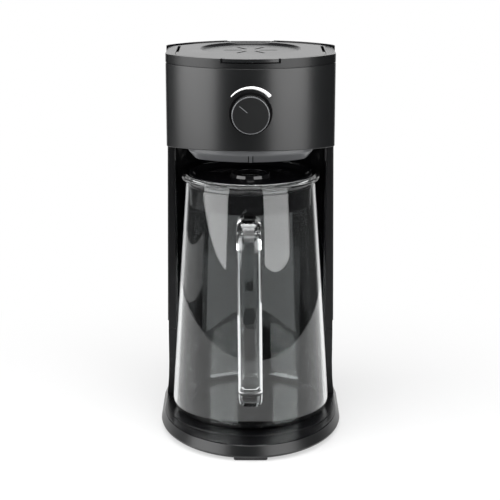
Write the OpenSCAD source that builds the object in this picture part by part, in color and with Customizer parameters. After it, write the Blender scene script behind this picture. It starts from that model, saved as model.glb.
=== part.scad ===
// Iced tea maker: a brewing head over a glass jug, on one column and base.
// Built around the jug's upright axis, front towards -Y, millimetres.

/* [Base] */
// Width of the base at the table
base_w = 174; // [168:1:186]
// Reach of the base in front of the jug axis
base_front = 107.5; // [104:0.5:120]
// Reach of the base behind the jug axis
base_rear = 113.5; // [111:0.5:125]
// Height of the platform over the table
base_h = 14.8; // [13:0.1:17]
// How far the base wall leans in towards its top edge
base_taper = 3; // [1:0.25:4]
// Height of the rubber feet
foot_h = 3; // [2:0.25:5]
// Width of the front foot
front_foot_w = 31; // [20:1:40]
// Height of the part line between base and column
root_top = 82; // [78:1:95]
// Width that the column root gains where it meets the platform
flare_w = 2.2; // [0.5:0.1:2.4]
// Height at which the root's flare has run out
flare_top = 48; // [38:1:60]
// Wall of the mouldings
wall = 2.4; // [2:0.1:3]

/* [Column] */
// Width of the column under the head
column_w = 157.6; // [154:0.2:160]
// Width that the column gains on each side down to the part line
column_draft = 2.4; // [0:0.1:3]
// Radius of the hollow that takes the jug
recess_r = 79; // [78:0.25:80]
// Front face of the column wings, behind the jug axis
wing_y = 33; // [31:0.5:40]
// Rear face of the column and the head, behind the jug axis
column_rear = 105.5; // [103:0.5:107]
// How far the rear cover stands out from the column's sides
cover_lap = 2.2; // [1.5:0.1:2.5]
// Front edge of the rear cover, behind the jug axis
cover_edge_y = 65; // [62:0.5:72]
// How far the rear cover stands above the collar
cover_proud = 0.6; // [0:0.1:1.6]

/* [Head] */
// Reach of the head in front of the jug axis
head_front = 41; // [40:0.5:48]
// Radius of the head's front and rear faces
head_arc_r = 97; // [92:1:120]
// Radius of the head's upright corners
corner_r = 14; // [8:0.5:18]
// Space between the jug's rim and the head's lower rim
head_gap = 26.5; // [24.5:0.5:33.5]
// Rise of that rim from the jug axis to the front
head_rake = 3; // [0:0.25:4]
// Height of the head from its lower rim to the seam under the collar
head_h = 78; // [76:0.5:83]
// Height of the collar
ring_h = 8.6; // [7.8:0.1:12]

/* [Lid] */
// Width of the lid
lid_w = 138.2; // [130:0.5:144]
// Reach of the lid in front of the jug axis
lid_front = 36.5; // [34:0.25:37.5]
// Reach of the lid behind the jug axis
lid_rear = 93; // [90:0.5:93.5]
// Gap around the lid
lid_gap = 0.5; // [0.3:0.05:0.9]
// Thickness of the lid
lid_t = 3; // [2.4:0.1:3.4]
// Radius of the round dish in the lid
dish_r = 48.5; // [40:0.5:52]
// Centre of the dish, behind the jug axis
dish_y = 43; // [30:0.5:44]
// Depth of the dish
dish_depth = 2; // [1:0.1:2.4]
// Number of vent slots in the dish
slot_count = 6; // [4:1:8]
// Inner end of a vent slot
slot_in = 9.5; // [7:0.5:12]
// Outer end of a vent slot
slot_out = 24; // [18:0.5:32]
// Width of a vent slot
slot_w = 2.8; // [1.5:0.1:4]
// Width of the finger tab
tab_w = 50.5; // [40:0.5:64]
// Thickness of the finger tab
tab_t = 3; // [2:0.1:3.2]
// Length of the lid's hinge barrel
barrel_l = 40; // [24:1:48]
// Outer radius of the hinge barrel
barrel_r = 3; // [2.6:0.1:3.2]
// Radius of the hinge pin
pin_r = 1.25; // [1:0.05:1.5]
// Hinge axis, behind the lid's rear edge
hinge_back = 5.6; // [5.5:0.1:5.8]
// Hinge axis, below the collar's top
hinge_drop = 2; // [1.4:0.1:2.4]

/* [Knob] */
// Diameter of the strength knob
knob_d = 34.6; // [30:0.2:38]
// Length of the knob in front of the head
knob_l = 14; // [10:0.5:18]
// Height of the knob's axis over the head's lower rim
knob_up = 38.3; // [30:0.1:43]
// Radius of the knob's shaft
shaft_r = 3; // [2.5:0.1:3.5]
// Radius of the shutter disc on the shaft
disc_r = 13; // [10:0.5:16]
// Mean radius of the white scale
scale_r = 22.8; // [21.5:0.1:26]
// Width of the scale at its weak end
scale_thin = 1; // [0.6:0.1:2]
// Width of the scale at its strong end
scale_wide = 3.4; // [2.2:0.1:4.5]
// Angle of the scale to each side of the top
scale_half = 51; // [40:1:60]

/* [Basket] */
// Width of the brew basket
basket_w = 117; // [108:1:122]
// Reach of the basket in front of the jug axis
basket_front = 31; // [27:0.5:31]
// Reach of the basket behind the jug axis
basket_rear = 56; // [48:0.5:58]
// Space between the jug's rim and the basket's underside
basket_gap = 15.9; // [15:0.1:19]
// Height of the basket's slanted foot
funnel_h = 7.5; // [6:0.25:12]
// How far the slanted foot draws in
funnel_in = 7.8; // [4:0.1:9]
// Wall of the basket
basket_wall = 2; // [1.6:0.1:2.4]
// Top of the deck that carries the basket, over the head's lower rim
deck_up = 64; // [61:0.5:67]
// Thickness of that deck
deck_t = 2; // [1.5:0.1:3]
// Outer radius of the outlet spout
spout_r = 7; // [6:0.25:9]
// Length of the outlet spout
spout_l = 4; // [3:0.25:8]

/* [Jug] */
// Height of the jug
jug_h = 230.5; // [222:0.5:234]
// Widest radius of the jug, near its bottom
jug_r = 75.2; // [70:0.2:76]
// Height of that widest place over the jug's bottom
jug_wide_z = 16; // [14:0.5:28]
// Radius of the rounded bottom edge
jug_edge_r = 11; // [8:0.5:13]
// Radius of the neck
neck_r = 61.2; // [58:0.1:62]
// Distance from the rim down to the neck
neck_drop = 6; // [5.5:0.25:9]
// Radius of the lip
lip_r = 64.7; // [64:0.1:66]
// Thickness of the glass
glass_t = 3; // [2.5:0.1:3.5]
// Width of the glass handle
handle_w = 22; // [16:0.5:28]
// Thickness of the glass handle
handle_t = 13; // [9:0.5:14]
// Outer face of the handle, in front of the jug axis
handle_reach = 107; // [102:0.5:110]
// Top of the handle, below the rim
handle_drop = 25; // [20:0.5:40]
// Underside of the handle over the jug's bottom
handle_foot = 33; // [28:0.5:60]
// Radius of the handle's bends
bend_r = 18; // [14:0.5:22]
// Depth of the jug lid's skirt below the rim
skirt_drop = 26.5; // [18:0.5:30]
// Top of the jug lid's rim, below the jug's rim
cap_drop = 1; // [0.4:0.1:1.2]
// Radius of the jug lid's inlet
inlet_r = 15; // [10:0.5:20]

/* [Water path] */
// Underside of the water tank
tank_bottom = 150; // [135:1:170]
// Top of the water tank over that deck
tank_over = 5; // [-3:0.5:11]
// Right-hand end of the water tank
tank_end_x = 48; // [40:0.5:50]
// Wall of the water tank
tank_wall = 2; // [1.5:0.1:2.5]
// Length of the boiler block
boiler_l = 62; // [50:1:64]
// Depth of the boiler block
boiler_d = 11; // [9:0.25:12]
// Height of the boiler block
boiler_h = 40; // [30:1:42]
// Underside of the boiler block
boiler_z = 20; // [17:0.5:22]
// Outer radius of the water tubes
tube_r = 4; // [3.5:0.1:4.2]
// Wall of the water tubes
tube_wall = 1; // [0.8:0.1:1.4]

/* [Switch] */
// Length of the mains rocker, up the side
rocker_l = 18; // [14:0.5:18]
// Width of the mains rocker
rocker_w = 12; // [9:0.5:13]
// Height of the rocker's middle
rocker_z = 64; // [62:0.5:64]
// Middle of the rocker, behind the jug axis
rocker_y = 51; // [49:0.5:52]
// Tilt of the rocker at rest
rocker_tilt = 7; // [4:0.5:8]

/* [Hidden] */
$fn = 72;
arc_steps = 16;
fillet_steps = 6;
nose_steps = 36;
// Hair gap between fixed pieces, gap between moving ones, and radial play of a turning fit
hair = 0.1;
clear = 0.4;
play = 0.05;
// Overlap that makes cuts and joins clean
lap = 1;

base_half = base_w / 2;
column_half = column_w / 2;
jug_z = base_h + 0.3;
rim_z = jug_z + jug_h;
// The head stands over the jug, and its pieces over the head's rim
head_bottom = rim_z + head_gap;
seam_z = head_bottom + head_h;
top_z = seam_z + ring_h;
knob_z = head_bottom + knob_up;
basket_bottom = rim_z + basket_gap;
deck_z = head_bottom + deck_up;
tank_top = deck_z + tank_over;
middle_y = (base_rear - base_front) / 2;
edge_r = 0.8;
plate_t = 2;
front_y = -head_front;

// Points of an arc, without its first one
function arc(c, r, from, to, steps) =
    [for (i = [1:steps]) let (a = from + (to - from) * i / steps) c + r * [cos(a), sin(a)]];

// Outline with round front and rear faces, straight sides and filleted corners
function barrel(half, front, rear, r, fillet) =
    let (x = half - fillet,
         rise = sqrt(pow(r - fillet, 2) - x * x),
         turn = atan2(rise, x),
         front_c = r - front,
         rear_c = rear - r)
    concat(
        arc([0, front_c], r, turn - 180, -turn, arc_steps),
        arc([x, front_c - rise], fillet, -turn, 0, fillet_steps),
        arc([x, rear_c + rise], fillet, 0, turn, fillet_steps),
        arc([0, rear_c], r, turn, 180 - turn, arc_steps),
        arc([-x, rear_c + rise], fillet, 180 - turn, 180, fillet_steps),
        arc([-x, front_c - rise], fillet, 180, 180 + turn, fillet_steps));

// Outlines that repeat, each drawn in by d all round
function head_outline(d) =
    barrel(column_half - d, head_front - d, column_rear - d, head_arc_r - d, corner_r - d);
function lid_outline(d) =
    barrel(lid_w / 2 - d, lid_front - d, lid_rear - d, head_arc_r - 4 - d, corner_r - 4 - d);
basket_arc_r = head_arc_r - 7;
basket_fillet = 22;
function basket_outline(d) =
    barrel(basket_w / 2 - d, basket_front - d, basket_rear - d, basket_arc_r - d, basket_fillet - d);

// Outline of the base: an oval nose, straight sides and a round rear
rear_arc_r = 105;
rear_fillet = 30;
function base_outline(d) =
    let (half = base_half - d,
         x = base_half - rear_fillet,
         rise = sqrt(pow(rear_arc_r - rear_fillet, 2) - x * x),
         turn = atan2(rise, x),
         rear_c = base_rear - rear_arc_r)
    concat(
        [for (i = [1:nose_steps])
            let (a = 180 * i / nose_steps - 180)
                [half * cos(a), (base_front - d) * sin(a)]],
        arc([x, rear_c + rise], rear_fillet - d, 0, turn, fillet_steps),
        arc([0, rear_c], rear_arc_r - d, turn, 180 - turn, arc_steps),
        arc([-x, rear_c + rise], rear_fillet - d, 180 - turn, 180, fillet_steps));

function lift(outline, z) = [for (p = outline) [p.x, p.y, z]];

// How far the column's side stands out from the head's at height z
function spread(z) =
    column_draft * max(0, min(1, (head_bottom - z) / (head_bottom - root_top)))
    + (z < flare_top ? flare_w * pow((flare_top - z) / (flare_top - base_h + lap), 2) : 0);

// Solid through a stack of rings with equal point counts
module skin(rings) {
    n = len(rings[0]);
    last = len(rings) - 1;
    polyhedron(
        points = [for (ring = rings) each ring],
        faces = concat(
            [[for (i = [0:n - 1]) i]],
            [for (k = [0:last - 1], i = [0:n - 1])
                [k * n + i, (k + 1) * n + i, (k + 1) * n + (i + 1) % n]],
            [for (k = [0:last - 1], i = [0:n - 1])
                [k * n + i, (k + 1) * n + (i + 1) % n, k * n + (i + 1) % n]],
            [[for (i = [0:n - 1]) last * n + n - 1 - i]]));
}

// Straight wall of an outline
module slab(outline, z, h) {
    translate([0, 0, z])
        linear_extrude(h)
            polygon(outline);
}

// Box that is centred across the object
module cross_box(w, y0, y1, z0, z1) {
    translate([-w / 2, y0, z0])
        cube([w, y1 - y0, z1 - z0]);
}

// Everything stands with the middle of its depth over the origin
module place() {
    translate([0, -middle_y, 0])
        children();
}

far = 400;

// Column body drawn in by d, with the jug's hollow cut out of its front
module hollowed(d, heights) {
    z0 = heights[0];
    z1 = heights[len(heights) - 1];
    difference() {
        skin([for (z = heights) lift(head_outline(d - spread(z)), z)]);
        translate([0, 0, z0 - lap])
            cylinder(r = recess_r + d, h = z1 - z0 + 2 * lap, $fn = 180);
        cross_box(far, -far, wing_y + d, z0 - lap, z1 + lap);
    }
}

root_heights = [base_h - lap, base_h + 4, base_h + 10, base_h + 18, flare_top, root_top];
cavity_heights = [foot_h - lap, base_h - lap, base_h + 10, flare_top, root_top + lap];

// Screws of the base plate
boss_r = 4.5;
screw_r = 1.5;
screw_head_r = 3.2;
screw_head_h = 1.3;
screw_l = base_h - foot_h - 2;
screw_in = 17;
screw_places = [
    [-42, -base_front + 3 * screw_in],
    [42, -base_front + 3 * screw_in],
    [-base_half + screw_in, 18],
    [base_half - screw_in, 18]];

// Groove that rings the jug's place on the platform
groove_r = recess_r + 1.5;
groove_w = 1.2;
groove_d = 0.5;

// The mains switch sits in the right-hand side of the column root
side_x = column_half + spread(rocker_z) - 0.1;
bezel = 1.2;
switch_depth = 10.5;
rocker_pin_r = 1;
rocker_t = 4;
rocker_x = side_x - rocker_t / 2 - 0.8;
frame_t = 1.2;

// Gland of the mains lead
gland_r = 6;
gland_x = 35;
gland_z = 30;
gland_bore_r = 3.4;
gland_flange_r = 8.5;
gland_flange_t = 1.6;
gland_wall_y = column_rear + spread(gland_z) - head_arc_r
    + sqrt(pow(head_arc_r + spread(gland_z), 2) - pow(gland_x, 2));
gland_turn = asin(gland_x / (head_arc_r + spread(gland_z)));

module at_gland() {
    translate([-gland_x, gland_wall_y, gland_z])
        rotate([0, 0, gland_turn])
            rotate([-90, 0, 0])
                children();
}

module base_shell() color("#1b1c1e") place() {
    difference() {
        union() {
            difference() {
                skin([
                    lift(base_outline(wall + base_taper), base_h - wall),
                    lift(base_outline(wall + edge_r), foot_h),
                    lift(base_outline(edge_r), foot_h),
                    lift(base_outline(0), foot_h + edge_r),
                    lift(base_outline(base_taper - edge_r / 2), base_h - edge_r),
                    lift(base_outline(base_taper + edge_r / 2), base_h)]);
                translate([0, 0, base_h - groove_d])
                    difference() {
                        cylinder(r = groove_r + groove_w / 2, h = lap, $fn = 180);
                        translate([0, 0, -lap])
                            cylinder(r = groove_r - groove_w / 2, h = 3 * lap, $fn = 180);
                    }
            }
            hollowed(0, root_heights);
            for (p = screw_places)
                translate([p.x, p.y, foot_h + plate_t + hair])
                    cylinder(r = boss_r, h = base_h - wall / 2 - foot_h - plate_t);
        }
        hollowed(wall, cavity_heights);
        for (p = screw_places)
            translate([p.x, p.y, foot_h])
                cylinder(r = screw_r + play, h = screw_l);
        translate([side_x - switch_depth, rocker_y - rocker_w / 2 - bezel, rocker_z - rocker_l / 2 - bezel])
            cube([far, rocker_w + 2 * bezel, rocker_l + 2 * bezel]);
        at_gland()
            translate([0, 0, -3 * wall])
                cylinder(r = gland_r + hair, h = 5 * wall);
    }
}

// The plate follows the lean of the tray's inner wall
plate_in = wall + edge_r + 2 * hair;
plate_lean = (base_taper - edge_r) * plate_t / (base_h - wall - foot_h);

module base_plate() color("#2a2b2d") place() {
    difference() {
        skin([
            lift(base_outline(plate_in), foot_h),
            lift(base_outline(plate_in + plate_lean), foot_h + plate_t)]);
        for (p = screw_places) {
            translate([p.x, p.y, foot_h - lap])
                cylinder(r = screw_r + 2 * play, h = plate_t + 2 * lap);
            translate([p.x, p.y, foot_h - lap])
                cylinder(r = screw_head_r + 2 * play, h = screw_head_h + lap);
        }
    }
}

module base_screws() color("silver") place() {
    for (p = screw_places)
        translate([p.x, p.y, foot_h]) {
            cylinder(r = screw_head_r, h = screw_head_h);
            cylinder(r = screw_r, h = screw_l - 0.5);
        }
}

foot_r = 8;
front_foot_d = 11;
front_foot_y = -base_front + 4;
foot_places = [
    [-base_half + 24, -38],
    [base_half - 24, -38],
    [-base_half + 26, base_rear - 36],
    [base_half - 26, base_rear - 36]];

module feet() color("#18181a") place() {
    translate([-front_foot_w / 2, front_foot_y, 0])
        cube([front_foot_w, front_foot_d, foot_h]);
    for (p = foot_places)
        translate([p.x, p.y, 0])
            cylinder(r = foot_r, h = foot_h);
}

cover_tuck = 12;

module column_front() color("#161719") place() {
    difference() {
        hollowed(0, [root_top, head_bottom]);
        hollowed(wall, [root_top - lap, head_bottom + lap]);
        difference() {
            cross_box(far, cover_edge_y + cover_tuck, far, root_top - lap, head_bottom + lap);
            translate([0, 0, root_top - 2 * lap])
                cylinder(r = recess_r + wall, h = head_bottom - root_top + 4 * lap, $fn = 180);
        }
    }
}

// Gap in the cover's top edge behind the hinge
cover_gap_w = barrel_l + 6;
cover_gap_h = 3;

module rear_cover() color("#1c1d1f") place() {
    difference() {
        skin([for (z = [root_top, head_bottom, top_z + cover_proud])
            lift(head_outline(-cover_lap - spread(z)), z)]);
        skin([for (z = [root_top - lap, head_bottom, top_z + cover_proud + lap])
            lift(head_outline(-hair - spread(z)), z)]);
        cross_box(far, -far, cover_edge_y, root_top - 2 * lap, top_z + cover_proud + 2 * lap);
        cross_box(cover_gap_w, cover_edge_y, far, top_z - cover_gap_h, far);
    }
}

floor_z = head_bottom + head_rake + 0.5;
floor_rear = basket_rear + 3;
ledge_w = 2.5;
ledge_t = 3;
bush_r = 5;
bush_flange_r = 7;
bush_flange_t = 1.2;
// Inner face of the curved front wall at the edge of the bush's flange
wall_in_r = head_arc_r - wall;
bush_seat_y = front_y + wall + wall_in_r - sqrt(pow(wall_in_r, 2) - pow(bush_flange_r, 2)) + hair;
bush_back_y = bush_seat_y + bush_flange_t;

module at_knob(y) {
    translate([0, y, knob_z])
        rotate([90, 0, 0])
            children();
}

module head_shell() color("#2f3134") place() {
    difference() {
        union() {
            difference() {
                slab(head_outline(0), head_bottom, seam_z - head_bottom);
                slab(head_outline(wall), head_bottom - lap, seam_z - head_bottom + 2 * lap);
            }
            intersection() {
                slab(head_outline(wall / 2), floor_z, wall);
                cross_box(far, -far, floor_rear, floor_z - lap, floor_z + 2 * wall);
            }
            intersection() {
                difference() {
                    slab(head_outline(wall / 2), deck_z - deck_t - ledge_t, ledge_t);
                    slab(head_outline(wall + ledge_w), deck_z - deck_t - ledge_t - lap, ledge_t + 2 * lap);
                }
                cross_box(far, -far, floor_rear, floor_z, seam_z);
            }
        }
        slab(basket_outline(-clear), floor_z - lap, wall + 2 * lap);
        rotate([90, 0, 90])
            translate([0, 0, -far / 2])
                linear_extrude(far)
                    polygon([
                        [0, head_bottom],
                        [front_y - lap, head_bottom + head_rake * (head_front + lap) / head_front],
                        [front_y - lap, head_bottom - lap],
                        [0, head_bottom - lap]]);
        at_knob(front_y + 3 * wall)
            cylinder(r = bush_r + hair, h = 5 * wall);
    }
}

seam_h = 0.9;
seam_in = 0.7;
// Gaps under the tab and at its ends
tab_gap = 0.5;
tab_end = 1.5;
hinge_y = lid_rear + hinge_back;
hinge_z = top_z - hinge_drop;
ear_l = 6;

module head_ring() color("#37393c") place() {
    difference() {
        union() {
            slab(head_outline(seam_in), seam_z, seam_h + lap);
            slab(head_outline(0), seam_z + seam_h, ring_h - seam_h);
            for (side = [-1, 1])
                translate([side * (barrel_l / 2 + clear + ear_l / 2), hinge_y, 0]) {
                    translate([0, 0, hinge_z])
                        rotate([0, 90, 0])
                            cylinder(r = barrel_r, h = ear_l, center = true);
                    translate([-ear_l / 2, -barrel_r, seam_z + seam_h])
                        cube([ear_l, 2 * barrel_r, hinge_z - seam_z - seam_h]);
                }
        }
        slab(lid_outline(-lid_gap), seam_z - lap, ring_h + 2 * lap);
        cross_box(barrel_l + 2 * clear, lid_rear - corner_r, hinge_y + barrel_r + clear,
                  hinge_z - barrel_r - clear, far);
        cross_box(tab_w + 2 * tab_end, -far, 0, top_z - tab_t - tab_gap, far);
        translate([0, hinge_y, hinge_z])
            rotate([0, 90, 0])
                cylinder(r = pin_r + play / 2, h = far, center = true);
    }
}

module hinge_pin() color("silver") place() {
    translate([0, hinge_y, hinge_z])
        rotate([0, 90, 0])
            cylinder(r = pin_r, h = barrel_l + 2 * clear + 2 * ear_l, center = true);
}

dish_wall = 2;
// Grip relief in each side of the lid
relief_l = 50;
relief_w = 1.4;
relief_y = 36;

module lid() color("#34363a") place() {
    difference() {
        union() {
            slab(lid_outline(0), top_z - lid_t, lid_t);
            translate([0, dish_y, top_z - dish_depth - dish_wall])
                cylinder(r = dish_r - dish_wall / 2, h = dish_depth + dish_wall, $fn = 180);
            intersection() {
                slab(head_outline(hair), top_z - tab_t, tab_t);
                cross_box(tab_w, -far, 0, top_z - 2 * tab_t, top_z + lap);
            }
            cross_box(barrel_l, lid_rear - 2 * lap, hinge_y, top_z - lid_t, top_z - 0.2);
            translate([0, hinge_y, hinge_z])
                rotate([0, 90, 0])
                    cylinder(r = barrel_r, h = barrel_l, center = true);
        }
        translate([0, dish_y, top_z - dish_depth])
            cylinder(r = dish_r, h = dish_depth + lap, $fn = 180);
        for (side = [-1, 1])
            translate([side * lid_w / 2, relief_y, top_z])
                cube([2 * relief_w, relief_l, 4 * lid_t], center = true);
        for (i = [0:slot_count - 1])
            translate([0, dish_y, top_z - dish_depth - dish_wall - lap])
                rotate([0, 0, i * 360 / slot_count])
                    linear_extrude(dish_wall + 2 * lap) {
                        translate([slot_in, -slot_w / 2])
                            square([slot_out - slot_in, slot_w]);
                        for (x = [slot_in, slot_out])
                            translate([x, 0])
                                circle(d = slot_w);
                    }
        translate([0, hinge_y, hinge_z])
            rotate([0, 90, 0])
                cylinder(r = pin_r + play, h = far, center = true);
    }
}

deck_gap = 0.3;

module basket_deck() color("#4a4c50") place() {
    difference() {
        slab(head_outline(wall + hair), deck_z - deck_t, deck_t);
        slab(basket_outline(-deck_gap), deck_z - deck_t - lap, deck_t + 2 * lap);
        cross_box(far, floor_rear, far, deck_z - 2 * deck_t, deck_z + lap);
    }
}

flange_w = 2.4;
flange_t = 2;
notch_w = 4.6;
notch_d = 1;
funnel_top = basket_bottom + funnel_h;
spout_wall = 2;

module brew_basket() color("#66686c") place() {
    difference() {
        union() {
            skin([
                lift(basket_outline(funnel_in), basket_bottom),
                lift(basket_outline(0), funnel_top),
                lift(basket_outline(0), deck_z + flange_t)]);
            slab(basket_outline(-flange_w), deck_z, flange_t);
            translate([0, 0, basket_bottom - spout_l])
                cylinder(r = spout_r, h = spout_l + basket_wall);
        }
        skin([
            lift(basket_outline(funnel_in + basket_wall), basket_bottom + basket_wall),
            lift(basket_outline(basket_wall), funnel_top + basket_wall / 2),
            lift(basket_outline(basket_wall), deck_z + flange_t + lap)]);
        translate([0, 0, basket_bottom - spout_l - lap])
            cylinder(r = spout_r - spout_wall, h = spout_l + basket_wall + 2 * lap);
        cross_box(notch_w, -basket_front - lap, -basket_front + funnel_in + notch_d,
                  basket_bottom - lap, basket_bottom + notch_d);
        at_knob(-basket_front + 2 * basket_wall)
            translate([0, port_ring_r, 0])
                cylinder(r = port_r, h = 4 * basket_wall);
    }
}

filter_wall = 1.2;
filter_gap = 0.6;
filter_bottom = funnel_top + 2 * basket_wall;
filter_flange_t = 1.5;
filter_slots = 8;
filter_slot_w = 3;
filter_slot_h = 34;

module tea_filter() color("#c9b26a") place() {
    inset = basket_wall + filter_gap;
    pitch = (basket_w - 2 * basket_fillet) / filter_slots;
    difference() {
        union() {
            slab(basket_outline(inset), filter_bottom, deck_z + flange_t - filter_bottom + filter_flange_t);
            slab(basket_outline(0), deck_z + flange_t, filter_flange_t);
        }
        slab(basket_outline(inset + filter_wall), filter_bottom + filter_wall, far);
        for (i = [0:filter_slots - 1])
            translate([(i + 0.5 - filter_slots / 2) * pitch - filter_slot_w / 2, -far / 2, filter_bottom + 8])
                cube([filter_slot_w, far, filter_slot_h]);
    }
}

knob_gap = 0.8;
knob_back = front_y - knob_gap;
knob_face = knob_back - knob_l;
knob_edge = 1.2;
knob_skirt_w = 1.7;
knob_skirt_t = 2;
clip_t = 0.8;
disc_t = 1.6;
disc_y = bush_back_y + clip_t + 3 * play;
shaft_back = disc_y + disc_t;
port_ring_r = 8;
port_r = 2.6;
disc_holes = 4;
disc_hole_r = 1.2;
grip_count = 60;
grip_r = 0.35;
pointer_turn = -50;
pointer_w = 1.1;
pointer_t = 0.5;
pointer_l = 10.5;

module knob() color("#2b2c2f") place() {
    difference() {
        at_knob(knob_back)
            union() {
                cylinder(d = knob_d, h = knob_l - knob_edge, $fn = 120);
                cylinder(r = knob_d / 2 + knob_skirt_w, h = knob_skirt_t, $fn = 120);
                translate([0, 0, knob_l - knob_edge])
                    cylinder(d1 = knob_d, d2 = knob_d - 2 * knob_edge, h = knob_edge, $fn = 120);
            }
        at_knob(knob_back + lap)
            cylinder(r = shaft_r + play / 2, h = knob_l * 0.6 + lap);
        for (i = [0:grip_count - 1])
            at_knob(knob_back - 2 * knob_edge)
                rotate([0, 0, i * 360 / grip_count])
                    translate([knob_d / 2, 0, 0])
                        cylinder(r = grip_r, h = knob_l - 4 * knob_edge, $fn = 16);
        at_knob(knob_face + pointer_t)
            rotate([0, 0, -pointer_turn])
                translate([-pointer_w / 2, 2.5, 0])
                    cube([pointer_w, pointer_l, 2 * pointer_t]);
    }
}

module knob_pointer() color("#b9babc") place() {
    at_knob(knob_face + pointer_t)
        rotate([0, 0, -pointer_turn])
            translate([-pointer_w / 2, 2.5, 0])
                cube([pointer_w, pointer_l, pointer_t]);
}

module knob_shaft() color("silver") place() {
    at_knob(shaft_back)
        cylinder(r = shaft_r, h = shaft_back - knob_back + knob_l * 0.6 - play);
}

module shaft_bush() color("#d8d3c6") place() {
    difference() {
        union() {
            at_knob(bush_back_y)
                cylinder(r = bush_r, h = bush_back_y - front_y + knob_gap / 2);
            at_knob(bush_back_y)
                cylinder(r = bush_flange_r, h = bush_flange_t);
        }
        at_knob(front_y + 4 * wall)
            cylinder(r = shaft_r + play, h = 6 * wall);
    }
}

module shaft_clip() color("silver") place() {
    difference() {
        at_knob(bush_back_y + play + clip_t)
            cylinder(r = shaft_r + 1.8, h = clip_t);
        at_knob(front_y + 4 * wall)
            cylinder(r = shaft_r, h = 6 * wall);
    }
}

module flow_disc() color("#d8d3c6") place() {
    difference() {
        at_knob(shaft_back)
            cylinder(r = disc_r, h = disc_t);
        at_knob(shaft_back + lap)
            cylinder(r = shaft_r, h = disc_t + 2 * lap);
        for (i = [0:disc_holes - 1])
            at_knob(shaft_back + lap)
                rotate([0, 0, 27 * i + 2 * i * i])
                    translate([0, port_ring_r, 0])
                        cylinder(r = disc_hole_r + 0.5 * i, h = disc_t + 2 * lap);
    }
}

scale_z = knob_z + 0.1;
scale_t = 0.35;

// Crescent whose width grows from the weak end to the strong one
module scale_shape() {
    mean = (scale_thin + scale_wide) / 2;
    shift = (scale_wide - scale_thin) / 2 / sin(scale_half);
    intersection() {
        difference() {
            circle(r = scale_r + mean / 2, $fn = 180);
            translate([-shift, 0])
                circle(r = scale_r - mean / 2, $fn = 180);
        }
        polygon([[0, 0], for (side = [-1, 0, 1])
            2 * scale_r * [sin(side * scale_half), cos(side * scale_half)]]);
    }
}

module dial_scale() color("white") place() {
    intersection() {
        difference() {
            slab(head_outline(-scale_t), head_bottom, seam_z - head_bottom);
            slab(head_outline(-play), head_bottom - lap, far);
        }
        translate([0, 0, scale_z])
            rotate([90, 0, 0])
                linear_extrude(far)
                    scale_shape();
    }
}

tank_gap = 0.5;
nipple_l = 8;
// Bores of the boiler's two ports stand this far from its middle
port_x = 24;

// Plan of the water tank, between the hollow and the rear wall, drawn in by d
module tank_plan(d) {
    difference() {
        polygon(head_outline(wall + tank_gap + d));
        circle(r = recess_r + wall + tank_gap + d, $fn = 180);
        translate([-far, -far])
            square([2 * far, far + floor_rear + tank_gap + d]);
        translate([tank_end_x - d, -far])
            square([far, 2 * far]);
    }
}

module water_tank() color("#9fb4bd") place() {
    difference() {
        union() {
            translate([0, 0, tank_bottom])
                linear_extrude(tank_top - tank_bottom)
                    tank_plan(0);
            translate([-port_x, boiler_mid, tank_bottom - nipple_l])
                cylinder(r = tube_r - tube_wall, h = nipple_l + lap);
        }
        translate([0, 0, tank_bottom + tank_wall])
            linear_extrude(far)
                tank_plan(tank_wall);
        translate([-port_x, boiler_mid, tank_bottom - nipple_l - lap])
            cylinder(r = tube_r - 2 * tube_wall, h = nipple_l + 3 * tank_wall);
    }
}

boiler_y = recess_r + wall + 2;
boiler_mid = boiler_y + boiler_d / 2;
boiler_top = boiler_z + boiler_h;
port_l = 4;
port_top = boiler_top + port_l;
valve_r = 6.5;
valve_l = 20;
valve_z = (tank_bottom + port_top) / 2;

// Straight round tube over the boiler's left-hand port
module port_tube(z0, z1, r, bore_r) {
    translate([-port_x, boiler_mid, z0])
        difference() {
            cylinder(r = r, h = z1 - z0);
            translate([0, 0, -lap])
                cylinder(r = bore_r, h = z1 - z0 + 2 * lap);
        }
}

module tank_hose() color("#d9d9d2") place() {
    port_tube(valve_z + valve_l / 2, tank_bottom, tube_r, tube_r - tube_wall);
}

module check_valve() color("#b8b2a4") place() {
    port_tube(valve_z - valve_l / 2, valve_z + valve_l / 2, valve_r, tube_r - 2 * tube_wall);
}

module valve_hose() color("#d9d9d2") place() {
    port_tube(port_top, valve_z - valve_l / 2, tube_r, tube_r - tube_wall);
}

module boiler_block() color("#8d9094") place() {
    bore_r = tube_r - tube_wall;
    bore_z = boiler_z + boiler_d;
    difference() {
        union() {
            cross_box(boiler_l, boiler_y, boiler_y + boiler_d, boiler_z, boiler_top);
            for (side = [-1, 1])
                translate([side * port_x, boiler_mid, boiler_top - lap])
                    cylinder(r = tube_r, h = port_l + lap);
        }
        for (side = [-1, 1])
            translate([side * port_x, boiler_mid, bore_z])
                cylinder(r = bore_r, h = boiler_h + port_l);
        translate([0, boiler_mid, bore_z])
            rotate([0, 90, 0])
                cylinder(r = bore_r - play, h = 2 * port_x, center = true);
    }
}

bracket_t = 1.5;
leg_w = 12;

module boiler_bracket() color("#a7a9ab") place() {
    bottom = foot_h + plate_t;
    cross_box(boiler_l - 4, boiler_y, boiler_y + boiler_d, boiler_z - bracket_t, boiler_z);
    for (side = [-1, 1])
        translate([side * (boiler_l - 4 - leg_w) / 2, 0, 0]) {
            cross_box(leg_w, boiler_mid - bracket_t / 2, boiler_mid + bracket_t / 2,
                bottom, boiler_z - bracket_t / 2);
            cross_box(leg_w, boiler_y, boiler_y + boiler_d, bottom, bottom + bracket_t);
        }
}

module thermostat() color("#c8c2b2") place() {
    translate([-6, boiler_mid, boiler_top])
        cylinder(d = boiler_d - 1, h = 7);
}

fuse_r = 2.5;
fuse_l = 14;

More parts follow.
